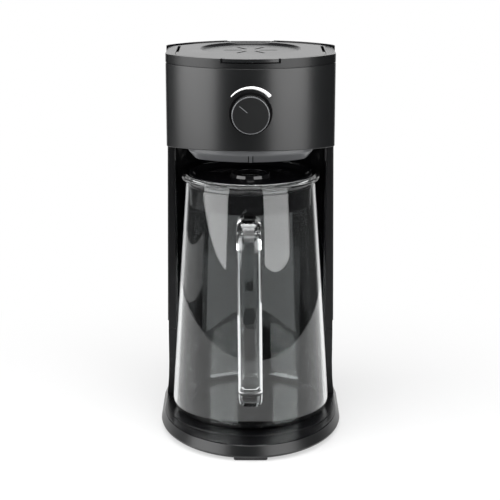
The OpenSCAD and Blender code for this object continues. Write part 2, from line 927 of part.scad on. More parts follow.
module thermal_fuse() color("#c9a24a") place() {
    translate([3, boiler_mid, boiler_top + fuse_r + play])
        rotate([0, 90, 0])
            cylinder(r = fuse_r, h = fuse_l);
}

function unit(v) = v / norm(v);

// Path with each inner corner turned into a few points of a bend
bend_steps = 4;
function bent(path, r) =
    let (last = len(path) - 1)
    concat(
        [path[0]],
        [for (i = [1:last - 1])
            let (p = path[i], a = p + r * unit(path[i - 1] - p), b = p + r * unit(path[i + 1] - p))
            for (k = [0:bend_steps])
                let (t = k / bend_steps) pow(1 - t, 2) * a + 2 * t * (1 - t) * p + t * t * b],
        [path[last]]);

function heading(path, i) =
    let (last = len(path) - 1)
    unit(path[min(i + 1, last)] - path[max(i - 1, 0)]);

// Cross directions carried along a path, so that the tube doesn't twist
function carried(path, across, i = 0) =
    i == len(path) ? [] :
    let (t = heading(path, i), side = unit(across - (across * t) * t))
    concat([[side, cross(t, side)]], carried(path, side, i + 1));

function tube_rings(path, frames, r) =
    [for (i = [0:len(path) - 1])
        [for (k = [0:tube_sides - 1])
            let (a = -360 * k / tube_sides)
            path[i] + r * (cos(a) * frames[i][0] - sin(a) * frames[i][1])]];

tube_sides = 12;
tube_bend = 9;
riser_x = 60;
riser_y = 69;
riser_turn_z = boiler_top + 34;
arm_z = top_z - dish_depth - dish_wall - tube_r - 1.5;
arm_y = 13;
spray_top = arm_z - tube_bend - 1;
riser_path = bent([
    [port_x, boiler_mid, port_top],
    [port_x, boiler_mid, riser_turn_z - 12],
    [riser_x, riser_y, riser_turn_z + 12],
    [riser_x, riser_y, arm_z],
    [0, arm_y, arm_z],
    [0, arm_y, spray_top]], tube_bend);

// Hollow tube: the rings run along the outside and back through the bore
module riser_tube() color("#cfcfc8") place() {
    frames = carried(riser_path, [1, 0, 0]);
    outside = tube_rings(riser_path, frames, tube_r);
    inside = tube_rings(riser_path, frames, tube_r - tube_wall);
    last = len(riser_path) - 1;
    rings = concat(outside, [for (i = [0:last]) inside[last - i]]);
    n = tube_sides;
    count = len(rings);
    polyhedron(
        points = [for (ring = rings) each ring],
        faces = [for (k = [0:count - 1], i = [0:n - 1], half = [0, 1])
            let (a = k * n, b = (k + 1) % count * n, j = (i + 1) % n)
            half == 0 ? [a + i, b + i, b + j] : [a + i, b + j, a + j]]);
}

spray_r = 22;
spray_t = 3.5;
spray_holes = 8;

module spray_head() color("#3a3c40") place() {
    translate([0, arm_y, spray_top - spray_t])
        difference() {
            cylinder(r = spray_r, h = spray_t);
            for (i = [0:spray_holes - 1])
                rotate([0, 0, i * 360 / spray_holes])
                    translate([spray_r * 0.7, 0, -lap])
                        cylinder(r = 1.5, h = spray_t + 2 * lap);
            translate([0, 0, spray_t - 2])
                cylinder(r = tube_r - tube_wall, h = 3);
        }
}

module switch_body() color("#202124") place() {
    difference() {
        translate([side_x - switch_depth,
            rocker_y - rocker_w / 2 - bezel + hair,
            rocker_z - rocker_l / 2 - bezel + hair])
            cube([switch_depth - 0.3, rocker_w + 2 * bezel - 2 * hair, rocker_l + 2 * bezel - 2 * hair]);
        translate([side_x - switch_depth + frame_t,
            rocker_y - rocker_w / 2 - hair,
            rocker_z - rocker_l / 2 - hair])
            cube([far, rocker_w + 2 * hair, rocker_l + 2 * hair]);
        translate([rocker_x, rocker_y, rocker_z])
            rotate([90, 0, 0])
                cylinder(r = rocker_pin_r + play / 2, h = rocker_w + bezel, center = true);
    }
}

module rocker_pin() color("silver") place() {
    translate([rocker_x, rocker_y, rocker_z])
        rotate([90, 0, 0])
            cylinder(r = rocker_pin_r, h = rocker_w + bezel, center = true);
}

module power_rocker() color("#101113") place() {
    half = rocker_l / 2 - 0.6;
    translate([rocker_x, rocker_y, rocker_z])
        rotate([0, -rocker_tilt, 0])
            rotate([90, 0, 0])
                difference() {
                    translate([0, 0, -rocker_w / 2 + 0.3])
                        linear_extrude(rocker_w - 0.6)
                            polygon([
                                [-rocker_t / 2, -half + 1.5],
                                [rocker_t / 2 + 1, -half],
                                [rocker_t / 2 - 0.2, 0],
                                [rocker_t / 2 + 1, half],
                                [-rocker_t / 2, half - 1.5]]);
                    cylinder(r = rocker_pin_r + play, h = 2 * rocker_w, center = true);
                }
}

module cord_inlet() color("#141416") place() {
    at_gland()
        difference() {
            union() {
                translate([0, 0, -wall - 1])
                    cylinder(r = gland_r, h = wall + 1 + gland_flange_t);
                translate([0, 0, 2 * hair])
                    cylinder(r = gland_flange_r, h = gland_flange_t);
            }
            translate([0, 0, -3 * wall])
                cylinder(r = gland_bore_r, h = 6 * wall);
        }
}

// Outline of the jug from its bottom centre to its lip, drawn in by d
function jug_outline(d) = concat(
    [[0, d]],
    arc([jug_r - jug_edge_r, jug_edge_r], jug_edge_r - d, -90, -3, 12),
    [[jug_r - d, jug_wide_z],
     [neck_r - d, jug_h - neck_drop]],
    arc([lip_r - d, jug_h - neck_drop + 2], lip_r - neck_r, 180, 118, 6),
    [[lip_r - d, jug_h]]);

module jug_space(d) {
    translate([0, 0, jug_z])
        rotate_extrude($fn = 180)
            polygon(concat(jug_outline(d), [[lip_r - d, jug_h + lap], [0, jug_h + lap]]));
}

// Flat oval section of the handle
module handle_section() {
    for (side = [-1, 1])
        translate([side * (handle_w - handle_t) / 2, 0])
            circle(d = handle_t);
    square([handle_w - handle_t, handle_t], center = true);
}

grip_y = -handle_reach + handle_t / 2;
arm_top_z = rim_z - handle_drop - handle_t / 2;
arm_low_z = jug_z + handle_foot + handle_t / 2;

module handle() {
    translate([0, grip_y, arm_low_z + bend_r])
        linear_extrude(arm_top_z - arm_low_z - 2 * bend_r)
            handle_section();
    for (z = [arm_low_z, arm_top_z]) {
        up = z == arm_top_z;
        translate([0, grip_y + bend_r, up ? z - bend_r : z + bend_r])
            rotate([0, 90, 0])
                rotate([0, 0, up ? 180 : -90])
                    rotate_extrude(angle = 90, $fn = 96)
                        translate([bend_r, 0])
                            rotate([0, 0, 90])
                                handle_section();
        translate([0, grip_y + bend_r, z])
            rotate([-90, 0, 0])
                linear_extrude(handle_reach - handle_t - bend_r - neck_r + 20)
                    handle_section();
    }
}

module jug_glass() color("#dfe9ec", 0.4) place() {
    difference() {
        union() {
            translate([0, 0, jug_z])
                rotate_extrude($fn = 180)
                    polygon(concat(jug_outline(0), [[0, jug_h]]));
            handle();
        }
        jug_space(glass_t);
    }
}

skirt_r = neck_r - glass_t - 0.9;
skirt_wall = 2;
cap_r = neck_r - glass_t + 0.4;
cap_z = rim_z - cap_drop;
cap_t = 2.2;
cap_dish = 5;
gasket_r = 0.55;
gasket_z = rim_z - neck_drop - 1.2;

module jug_lid() color("#111214") place() {
    difference() {
        rotate_extrude($fn = 180)
            polygon([
                [inlet_r, cap_z - cap_dish - cap_t],
                [skirt_r - skirt_wall, cap_z - cap_dish - cap_t],
                [skirt_r - skirt_wall, rim_z - skirt_drop],
                [skirt_r, rim_z - skirt_drop],
                [skirt_r, cap_z - cap_t],
                [cap_r, cap_z - cap_t / 2],
                [cap_r, cap_z],
                [cap_r - 4, cap_z],
                [cap_r - 8, cap_z - cap_dish],
                [inlet_r, cap_z - cap_dish]]);
        translate([0, 0, gasket_z])
            rotate_extrude($fn = 180)
                translate([skirt_r, 0])
                    circle(r = gasket_r, $fn = 24);
    }
}

module jug_gasket() color("#3a3a3c") place() {
    translate([0, 0, gasket_z])
        rotate_extrude($fn = 180)
            translate([skirt_r, 0])
                circle(r = gasket_r, $fn = 24);
}

base_shell();
base_plate();
base_screws();
feet();
column_front();
rear_cover();
head_shell();
head_ring();
hinge_pin();
lid();
basket_deck();
brew_basket();
tea_filter();
knob();
knob_pointer();
knob_shaft();
shaft_bush();
shaft_clip();
flow_disc();
dial_scale();
water_tank();
tank_hose();
check_valve();
valve_hose();
boiler_block();
boiler_bracket();
thermostat();
thermal_fuse();
riser_tube();
spray_head();
switch_body();
rocker_pin();
power_rocker();
cord_inlet();
jug_glass();
jug_lid();
jug_gasket();
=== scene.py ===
import math

import bmesh
import bpy
from mathutils import Matrix, Quaternion, Vector


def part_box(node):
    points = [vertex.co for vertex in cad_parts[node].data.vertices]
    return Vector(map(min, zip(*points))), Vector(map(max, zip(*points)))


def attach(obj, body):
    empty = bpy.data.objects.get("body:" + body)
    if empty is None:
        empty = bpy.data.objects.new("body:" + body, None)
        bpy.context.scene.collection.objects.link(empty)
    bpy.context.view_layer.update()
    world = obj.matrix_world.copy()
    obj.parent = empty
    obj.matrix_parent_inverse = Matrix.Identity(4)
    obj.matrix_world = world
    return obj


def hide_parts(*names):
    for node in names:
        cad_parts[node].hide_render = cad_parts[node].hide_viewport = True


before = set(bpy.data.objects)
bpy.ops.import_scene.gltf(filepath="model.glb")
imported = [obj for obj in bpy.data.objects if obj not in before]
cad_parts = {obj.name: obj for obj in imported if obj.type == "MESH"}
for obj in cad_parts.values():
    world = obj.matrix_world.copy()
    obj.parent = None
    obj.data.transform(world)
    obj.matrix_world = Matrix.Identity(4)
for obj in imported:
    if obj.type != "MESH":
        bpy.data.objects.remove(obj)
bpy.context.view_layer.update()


# Camera
# It looks straight at the front from a little above the lid, through a long lens.
# Its distance and tilt come from how the base, the head and the lid foreshorten.
scene = bpy.context.scene
scene.view_settings.view_transform = "Standard"
camera = bpy.data.objects.new("camera", bpy.data.cameras.new("camera"))
scene.collection.objects.link(camera)
scene.camera = camera
camera.data.sensor_width = 36
camera.data.lens = 103.9
camera.location = (-0.0006, -1.333, 0.5256)
camera.rotation_euler = (math.radians(75.1), 0, 0)


# Studio
# A round table of pale paper runs out into a white backdrop. Two broad softboxes stand in front, left
# and right, a third hangs above, and a low card at the left puts an upright glint into the column's
# hollow. The room behind the camera is dim, so that gloss shows the softboxes.
def srgb(text):
    """Linear colour of an sRGB hex value."""
    parts = [int(text[i:i + 2], 16) / 255 for i in (1, 3, 5)]
    return (*[c / 12.92 if c <= 0.04045 else ((c + 0.055) / 1.055) ** 2.4 for c in parts], 1)


def add_node(tree, kind, inputs=None, **settings):
    """Adds a node with its settings; an input is given a value, or a socket to be linked to."""
    node = tree.nodes.new("ShaderNode" + kind)
    for name, value in settings.items():
        setattr(node, name, value)
    for key, value in (inputs or {}).items():
        if isinstance(value, bpy.types.NodeSocket):
            tree.links.new(value, node.inputs[key])
        else:
            node.inputs[key].default_value = value
    return node


room_light, room_gloom = 0.45, 0.06
gloom_end, white_start = 0.7, 0.93
world = bpy.data.worlds.new("studio")
scene.world = world
world.use_nodes = True
tree = world.node_tree
tree.nodes.clear()
rays = add_node(tree, "LightPath").outputs
heading = add_node(tree, "TexCoord").outputs["Generated"]
rearward = add_node(tree, "SeparateXYZ", {0: heading}).outputs["Y"]
mirrored = add_node(tree, "MapRange", {
    "Value": rearward, "From Min": gloom_end, "From Max": white_start,
    "To Min": room_gloom, "To Max": 1}).outputs[0]
# A ray that only passes through glass sees the white backdrop, and a mirrored one the dim room.
unmirrored = add_node(tree, "Math", {0: rays["Glossy Depth"], 1: 0.5}, operation="LESS_THAN").outputs[0]
passing = {0: rays["Is Transmission Ray"], 1: unmirrored}
straight = add_node(tree, "Math", passing, operation="MULTIPLY").outputs[0]
strength = add_node(tree, "Mix", {0: rays["Is Glossy Ray"], 2: room_light, 3: mirrored}).outputs[0]
strength = add_node(tree, "Mix", {0: straight, 2: strength, 3: 1}).outputs[0]
strength = add_node(tree, "Mix", {0: rays["Is Camera Ray"], 2: strength, 3: 1}).outputs[0]
backdrop = add_node(tree, "Background", {"Color": srgb("#ffffff"), "Strength": strength})
add_node(tree, "OutputWorld", {"Surface": backdrop.outputs[0]})

table_middle, table_reach = (-0.02, 0.03), (0.55, 0.53)
glow_near, glow_far = 0.5, 1
near_r, far_r = 0.1, 0.45
bm = bmesh.new()
bmesh.ops.create_circle(bm, cap_ends=True, segments=128, radius=1)
bmesh.ops.scale(bm, vec=(*table_reach, 1), verts=bm.verts)
bmesh.ops.translate(bm, vec=(*table_middle, 0), verts=bm.verts)
floor = bpy.data.objects.new("floor", bpy.data.meshes.new("floor"))
bm.to_mesh(floor.data)
bm.free()
scene.collection.objects.link(floor)
paper = bpy.data.materials.new("white_paper_floor")
paper.use_nodes = True
tree = paper.node_tree
tree.nodes.clear()
matt = add_node(tree, "BsdfDiffuse", {"Color": srgb("#e6e6e6")})
glow = add_node(tree, "Emission", {"Color": srgb("#ffffff"), "Strength": 1})
place = add_node(tree, "TexCoord").outputs["Object"]
away = add_node(tree, "VectorMath", {0: place}, operation="LENGTH").outputs["Value"]
reach = {"Value": away, "From Min": near_r, "From Max": far_r, "To Min": glow_near, "To Max": glow_far}
spread = add_node(tree, "MapRange", reach, interpolation_type="SMOOTHSTEP").outputs[0]
# Rays that see the table, directly, mirrored or through glass, find it glowing into the backdrop.
rays = add_node(tree, "LightPath").outputs
bounced = {0: rays["Is Glossy Ray"], 1: rays["Is Transmission Ray"]}
either = add_node(tree, "Math", bounced, operation="MAXIMUM").outputs[0]
seen = add_node(tree, "Math", {0: rays["Is Camera Ray"], 1: either}, operation="MAXIMUM").outputs[0]
share = add_node(tree, "Math", {0: seen, 1: spread}, operation="MULTIPLY")
mixed = add_node(tree, "MixShader", {0: share.outputs[0], 1: matt.outputs[0], 2: glow.outputs[0]})
add_node(tree, "OutputMaterial", {"Surface": mixed.outputs[0]})
floor.data.materials.append(paper)


def softbox(name, place, aim, size, watts, roll=0):
    """Rectangular studio light of a size in metres, at a place, aimed at a point and rolled in
    degrees. The camera doesn't see it."""
    lamp = bpy.data.objects.new(name, bpy.data.lights.new(name, "AREA"))
    lamp.data.shape = "RECTANGLE"
    lamp.data.size, lamp.data.size_y = size
    lamp.data.energy = watts
    lamp.visible_camera = False
    lamp.location = place
    lamp.rotation_mode = "QUATERNION"
    upright = (Vector(aim) - Vector(place)).to_track_quat("-Z", "Y")
    lamp.rotation_quaternion = upright @ Quaternion((0, 0, 1), math.radians(roll))
    scene.collection.objects.link(lamp)


softbox("left_softbox", (-1.165, -0.6, 0.565), (0, 0, 0.18), (1.33, 1.2), 20.8, roll=-4)
softbox("right_softbox", (0.919, -0.923, 0.54), (0, 0, 0.18), (1.17, 1.2), 16.4, roll=-1)
softbox("top_softbox", (0, -0.45, 1.5), (0, -0.45, 0.2), (1.0, 1.3), 13)
softbox("low_card", (-0.82, 0.32, -0.015), (0, 0, -0.015), (0.95, 0.09), 0.14, roll=4)


# Feet
# A wide pad under the nose and four round pads, moulded from black rubber and pressed into the
# base plate. Only the front pad shows from the front.
millimetre = 0.001
lid_low, lid_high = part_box("jug_lid")
jug_axis = Vector((0, (lid_low.y + lid_high.y) / 2, 0))


def node_box(name):
    """Corners of a node in millimetres from the jug's axis, the unit in which pieces are drawn."""
    return [(corner - jug_axis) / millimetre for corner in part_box(name)]


def plastic(name, colour, roughness, grain, depth, speck=0.06, shine=0.5):
    """Moulded finish: a faint speckle of its colour, a grain of that size and depth in mm, and
    broad patches that are a little duller or brighter."""
    patch = 40
    finish = bpy.data.materials.new(name)
    finish.use_nodes = True
    tree = finish.node_tree
    tree.nodes.clear()
    place = add_node(tree, "TexCoord").outputs["Object"]
    noise = {"Vector": place, "Scale": 1 / (grain * millimetre), "Detail": 3}
    grit = add_node(tree, "TexNoise", noise).outputs["Fac"]
    cloud = add_node(tree, "TexNoise", {"Vector": place, "Scale": 1 / (patch * millimetre)}).outputs["Fac"]
    tone = srgb(colour)
    dark = [c * (1 - speck) for c in tone[:3]]
    light = [c * (1 + speck) for c in tone[:3]]
    mixed = add_node(tree, "Mix", {0: grit, 6: (*dark, 1), 7: (*light, 1)}, data_type="RGBA")
    wear = {"Value": cloud, "To Min": roughness * 0.9, "To Max": roughness * 1.1}
    rough = add_node(tree, "MapRange", wear).outputs[0]
    bump = add_node(tree, "Bump", {"Height": grit, "Distance": depth * millimetre, "Strength": 1})
    surface = add_node(tree, "BsdfPrincipled", {
        "Base Color": mixed.outputs[2], "Roughness": rough, "Normal": bump.outputs[0], "IOR": 1.53,
        "Specular IOR Level": shine})
    add_node(tree, "OutputMaterial", {"Surface": surface.outputs[0]})
    return finish


def place_mesh(name, bm):
    """Makes an object of a mesh that is drawn in mm about the jug's axis."""
    bmesh.ops.scale(bm, vec=(millimetre,) * 3, verts=bm.verts)
    bmesh.ops.translate(bm, vec=jug_axis, verts=bm.verts)
    placed = bpy.data.objects.new(name, bpy.data.meshes.new(name))
    bm.to_mesh(placed.data)
    bm.free()
    scene.collection.objects.link(placed)
    return placed


def set_in(name, bm, finish, body, slot, *nodes):
    """Makes a piece of a drawn mesh, in place of CAD nodes."""
    piece = place_mesh(name, bm)
    piece.data.materials.append(finish)
    piece.data.shade_smooth()
    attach(piece, body)
    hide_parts(*nodes)
    return piece


def soften(piece, width, segments=3, angle=40):
    """Rounds a piece's sharp edges by a width in mm and evens the shading of its flats."""
    bevel = piece.modifiers.new("rounded edges", "BEVEL")
    bevel.width = width * millimetre
    bevel.segments = segments
    bevel.limit_method = "ANGLE"
    bevel.angle_limit = math.radians(angle)
    even = piece.modifiers.new("even shading", "WEIGHTED_NORMAL")
    even.keep_sharp = False


def block(bm, size, middle=(0, 0, 0)):
    """Draws a box of a size about a point, and returns its vertices."""
    corners = bmesh.ops.create_cube(bm, size=1)["verts"]
    bmesh.ops.scale(bm, vec=size, verts=corners)
    bmesh.ops.translate(bm, vec=middle, verts=corners)
    return corners


def rod(bm, radius, length, segments):
    """Draws an upright cylinder about the origin, and returns its vertices."""
    return bmesh.ops.create_cone(bm, cap_ends=True, segments=segments, radius1=radius, radius2=radius,
                                 depth=length)["verts"]


# Moulded rubber: matt, with a coarse grain.
rubber = plastic("moulded_rubber", "#17171a", 0.62, 1.2, 0.02)
foot_low, foot_high = node_box("feet")
foot_h = foot_high.z
pad_w, pad_d, pad_round = 31, 11, 2.5
disc_r = 8
disc_places = [(-63, -38), (63, -38), (-61, 77.5), (61, 77.5)]
bm = bmesh.new()
block(bm, (pad_w, pad_d, foot_h), (0, foot_low.y + pad_d / 2, foot_h / 2))
uprights = [e for e in bm.edges if abs(e.verts[0].co.z - e.verts[1].co.z) > foot_h / 2]
bmesh.ops.bevel(bm, geom=uprights, offset=pad_round, segments=5, profile=0.5,
                affect="EDGES", material=-1)
for x, y in disc_places:
    disc = rod(bm, disc_r, foot_h, 48)
    bmesh.ops.translate(bm, vec=(x, y, foot_h / 2), verts=disc)
feet = set_in("feet_pads", bm, rubber, "stand", "rubber_black", "feet")
soften(feet, 0.5)


# Base plate and its screws
# A flat moulding closes the base from below, held by four countersunk steel screws.
def dress(finish, *nodes):
    """Gives CAD nodes a finish."""
    for node in nodes:
        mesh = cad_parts[node].data
        mesh.materials.clear()
        mesh.materials.append(finish)


def metal(name, colour, roughness, grain):
    """Metal whose roughness varies with a grain of that size in mm."""
    finish = bpy.data.materials.new(name)
    finish.use_nodes = True
    tree = finish.node_tree
    tree.nodes.clear()
    place = add_node(tree, "TexCoord").outputs["Object"]
    noise = {"Vector": place, "Scale": 1 / (grain * millimetre), "Detail": 4}
    grit = add_node(tree, "TexNoise", noise).outputs["Fac"]
    wear = {"Value": grit, "To Min": roughness * 0.75, "To Max": roughness * 1.25}
    rough = add_node(tree, "MapRange", wear).outputs[0]
    bump = add_node(tree, "Bump", {"Height": grit, "Distance": 0.01 * millimetre, "Strength": 1})
    surface = add_node(tree, "BsdfPrincipled", {
        "Base Color": srgb(colour), "Metallic": 1, "Roughness": rough, "Normal": bump.outputs[0]})
    add_node(tree, "OutputMaterial", {"Surface": surface.outputs[0]})
    return finish


# Black ABS from a spark-eroded tool: a dull charcoal that still takes broad soft highlights.
satin_abs = plastic("satin_black_abs", "#0f1011", 0.3, 0.9, 0.006, shine=0.6)
# Walls that are handled more come from a coarser tool and shine less.
grain_abs = plastic("fine_grain_black_abs", "#0c0d0e", 0.32, 0.9, 0.006, shine=0.42)
# Screws, pins and clips are of bright zinc-plated steel.
zinc_steel = metal("zinc_plated_steel", "#c3c5c8", 0.3, 0.6)
dress(satin_abs, "base_plate")
dress(zinc_steel, "base_screws")


# Base shell
# One gloss-black moulding: the oval tray with the platform for the jug, and the root of the
# column, which flares where it runs into the platform. It is screwed to the base plate.
def draw_line(bm, start, strokes, z):
    """Pencils edges at height z: a stroke of two numbers is a run to that point, and one of three
    is a bend about a centre by so many degrees. The line closes if it ends where it started."""
    before = set(bm.edges)
    pencil = bm.verts.new((*start, z))
    for x, y, *turn in strokes:
        if turn:
            steps = max(2, round(abs(turn[0]) / 2.5))
            bend = bmesh.ops.spin(bm, geom=[pencil], cent=(x, y, z), axis=(0, 0, 1),
                                  angle=math.radians(turn[0]), steps=steps)
            pencil = bend["geom_last"][0]
        else:
            pencil = bmesh.ops.extrude_vert_indiv(bm, verts=[pencil])["verts"][0]
            pencil.co = (x, y, z)
    points = {v for e in bm.edges if e not in before for v in e.verts}
    bmesh.ops.remove_doubles(bm, verts=list(points), dist=0.01)
    return [e for e in bm.edges if e not in before]


def raise_wall(bm, edges, z):
    """Pulls edges to height z as a wall, and returns the wall's far edges."""
    pulled = bmesh.ops.extrude_edge_only(bm, edges=edges)["geom"]
    for v in pulled:
        if isinstance(v, bmesh.types.BMVert):
            v.co.z = z
    return [e for e in pulled if isinstance(e, bmesh.types.BMEdge)]


def points_of(edges):
    """Vertices of some edges."""
    return list({v for e in edges for v in e.verts})


def draw_in(bm, edges, pivot, factors):
    """Scales a line about a point of the plan."""
    move = Matrix.Translation((-pivot[0], -pivot[1], 0))
    bmesh.ops.scale(bm, vec=(*factors, 1), space=move, verts=points_of(edges))


def tilt(bm, verts, degrees, axis):
    """Turns vertices about an axis through the origin."""
    turned = Matrix.Rotation(math.radians(degrees), 3, axis)
    bmesh.ops.rotate(bm, cent=(0, 0, 0), matrix=turned, verts=verts)


def fill(bm, edges):
    """Closes the flat between edge loops."""
    bmesh.ops.triangle_fill(bm, use_beauty=True, use_dissolve=True, edges=edges)


def lathe(bm, start, strokes, steps=144):
    """Turns a profile of radius and height about the upright axis, and returns its new edges."""
    before = set(bm.edges)
    profile = draw_line(bm, start, strokes, 0)
    tilt(bm, points_of(profile), 90, "X")
    turned = points_of(profile) + profile
    bmesh.ops.spin(bm, geom=turned, cent=(0, 0, 0), axis=(0, 0, 1), angle=math.tau,
                   steps=steps, use_merge=True)
    fresh = points_of([e for e in bm.edges if e not in before])
    bmesh.ops.remove_doubles(bm, verts=fresh, dist=0.001)
    return [e for e in bm.edges if e not in before]


def loop_at(edges, radius, z):
    """Those edges that lie on a circle about the upright axis."""
    def on_it(v):
        return abs(math.hypot(v.co.x, v.co.y) - radius) < 0.05 and abs(v.co.z - z) < 0.05
    return [e for e in edges if all(on_it(v) for v in e.verts)]


def thicken(piece, wall):
    """Gives a sheet its wall, in mm, on the side away from its face normals."""
    solid = piece.modifiers.new("wall", "SOLIDIFY")
    solid.thickness = wall * millimetre
    solid.offset = -1
    solid.use_even_offset = True


# Gloss ABS from a polished tool: near black, with a mirror-like surface and a faint waviness.
gloss_abs = plastic("gloss_black_abs", "#0c0c0e", 0.07, 6, 0.004)
# The tray is polished less, so that it only hints at what stands on it.
tray_abs = plastic("half_gloss_black_abs", "#0a0a0c", 0.24, 6, 0.004)
# The outside of the column is dull, and only its hollow is polished.
dull_abs = plastic("dull_black_abs", "#08080a", 0.36, 0.9, 0.006, shine=0.3)
base_low, base_high = node_box("base_shell")
column_low, column_high = node_box("column_front")
jug_clear = 0.3
platform_z = node_box("jug_glass")[0].z - jug_clear
base_half, base_front, base_rear = base_high.x, -base_low.y, base_high.y
base_lean, base_bow, base_corner = 3, 105, 30
edge_round, edge_steps = 1.6, 6
turn_h, wide_h, foot_tuck, turn_tuck = 0.9, 2.6, 2, 0.6
tray_rise, edge_rise = 0.99, 0.6
groove_r, groove_w, groove_d = 80.5, 1.2, 0.5
wall = 2.4
corner_x = base_half - base_corner
corner_rise = math.sqrt((base_bow - base_corner) ** 2 - corner_x ** 2)
corner_turn = math.degrees(math.atan2(corner_rise, corner_x))
bow_y = base_rear - base_bow
bm = bmesh.new()
foot_line = draw_line(bm, (-base_half, 0), [
    (0, 0, 180),
    (base_half, bow_y + corner_rise),
    (corner_x, bow_y + corner_rise, corner_turn),
    (0, bow_y, 180 - 2 * corner_turn),
    (-corner_x, bow_y + corner_rise, corner_turn),
    (-base_half, 0)], foot_h)
nose = [v for v in points_of(foot_line) if v.co.y < 0]
bmesh.ops.scale(bm, vec=(1, base_front / base_half, 1), verts=nose)
turn_line = raise_wall(bm, foot_line, foot_h + turn_h)
wide_line = raise_wall(bm, turn_line, foot_h + wide_h)
top_line = raise_wall(bm, wide_line, platform_z - edge_round)
insets = [(foot_line, foot_tuck), (turn_line, turn_tuck), (top_line, base_lean)]
for step in range(1, edge_steps + 1):
    turn = math.radians(90 * step / edge_steps)
    top_line = raise_wall(bm, top_line, platform_z - edge_round * (1 - math.sin(turn)))
    insets.append((top_line, base_lean + edge_round * (1 - math.cos(turn))))
middle_y = (base_rear - base_front) / 2
half_depth = (base_rear + base_front) / 2
for line, inset in insets:
    draw_in(bm, line, (0, middle_y), (1 - inset / base_half, 1 - inset / half_depth))
groove = lathe(bm, (groove_r + groove_w / 2, platform_z), [
    (groove_r + groove_w / 3, platform_z - groove_d),
    (groove_r - groove_w / 3, platform_z - groove_d),
    (groove_r - groove_w / 2, platform_z)])
outer_ring = loop_at(groove, groove_r + groove_w / 2, platform_z)
inner_ring = loop_at(groove, groove_r - groove_w / 2, platform_z)
fill(bm, top_line + outer_ring)
bmesh.ops.edgeloop_fill(bm, edges=inner_ring)
bmesh.ops.recalc_face_normals(bm, faces=bm.faces)
tray_faces = set(bm.faces)
for face in tray_faces:
    rise = face.normal.z
    face.material_index = 2 if rise > tray_rise else 0 if rise > edge_rise else 1

column_half, column_rear = 78.8, 105.5
hollow_r, wing_y = 79, 33
outer_r = hollow_r + 2.5
column_bow, column_corner = 97, 14
wing_round = 3
wing_x = math.sqrt((hollow_r + wing_round) ** 2 - (wing_y + wing_round) ** 2)
wing_turn = math.degrees(math.atan2(wing_x, wing_y + wing_round))
hollow_turn = 2 * wing_turn
side_x = column_half - column_corner
side_rise = math.sqrt((column_bow - column_corner) ** 2 - side_x ** 2)
side_turn = math.degrees(math.atan2(side_rise, side_x))
rear_bow_y = column_rear - column_bow
side_y = rear_bow_y + side_rise
column_draft, flare_w, flare_top, root_sink = 2.4, 2.2, 48, 0.5
flare_steps, seam_lap = (2, 5, 10, 17), 1
part_z = column_low.z


def spread_column(bm, line, z):
    """Moves the outer side of a column line out by the draft and the flare at height z."""
    draft = column_draft * min(1, (column_high.z - z) / (column_high.z - part_z))
    flare = flare_w * max(0, (flare_top - z) / (flare_top - platform_z)) ** 2
    outer = [e for e in line if all(v.co.xy.length > outer_r for v in e.verts)]
    out = draft + flare
    draw_in(bm, outer, (0, wing_y), (1 + out / column_half, 1 + out / (column_rear - wing_y)))


root_line = draw_line(bm, (column_half, wing_y), [
    (column_half, side_y),
    (side_x, side_y, side_turn),
    (0, rear_bow_y, 180 - 2 * side_turn),
    (-side_x, side_y, side_turn),
    (-column_half, wing_y),
    (-wing_x, wing_y),
    (-wing_x, wing_y + wing_round, wing_turn),
    (0, 0, -hollow_turn),
    (wing_x, wing_y + wing_round, wing_turn),
    (column_half, wing_y)], platform_z - root_sink)
root_steps = [platform_z + rise for rise in flare_steps] + [flare_top, part_z - seam_lap, part_z]
levels = [root_line]
for z in root_steps:
    levels.append(raise_wall(bm, levels[-1], z))
for line, z in zip(levels, [platform_z] + root_steps):
    spread_column(bm, line, z)
root_faces = [f for f in bm.faces if f not in tray_faces]
bmesh.ops.recalc_face_normals(bm, faces=root_faces)


def dull_outside(faces, index):
    """Gives faces outside the column's hollow another of their piece's finishes."""
    for face in faces:
        if face.calc_center_median().xy.length > outer_r:
            face.material_index = index


dull_outside(root_faces, 3)
base = set_in("base_and_column_root", bm, gloss_abs, "stand", "gloss_black_abs", "base_shell")
for finish in (grain_abs, tray_abs, dull_abs):
    base.data.materials.append(finish)
thicken(base, wall)
soften(base, 0.9, segments=4)
base.modifiers["rounded edges"].material = 0


# Column front
# The gloss-black front of the column, hollowed to take the jug, with a narrow wing to each side.
# It slides down over the root and clips behind the rear cover.
bm = bmesh.new()
tuck = math.radians(side_turn)
tuck_end = (side_x + column_corner * math.cos(tuck), side_y + column_corner * math.sin(tuck))
front_line = draw_line(bm, tuck_end, [
    (side_x, side_y, -side_turn),
    (column_half, wing_y),
    (wing_x, wing_y),
    (wing_x, wing_y + wing_round, -wing_turn),
    (0, 0, hollow_turn),
    (-wing_x, wing_y + wing_round, -wing_turn),
    (-column_half, wing_y),
    (-column_half, side_y),
    (-side_x, side_y, -side_turn)], part_z)
levels = [front_line, raise_wall(bm, front_line, column_high.z)]
for line, z in zip(levels, (part_z, column_high.z)):
    spread_column(bm, line, z)


def face_out(bm, point, direction):
    """Turns a sheet so that its face nearest a point looks in a direction."""
    bmesh.ops.recalc_face_normals(bm, faces=bm.faces)
    nearest = min(bm.faces, key=lambda f: (f.calc_center_median() - Vector(point)).length)
    if nearest.normal.dot(Vector(direction)) < 0:
        bmesh.ops.reverse_faces(bm, faces=bm.faces)


face_out(bm, (0, hollow_r, part_z), (0, -1, 0))
dull_outside(bm.faces, 1)
column = set_in("column_front_moulding", bm, gloss_abs, "stand", "gloss_black_abs", "column_front")
column.data.materials.append(dull_abs)
thicken(column, wall)
soften(column, 0.8, segments=4)


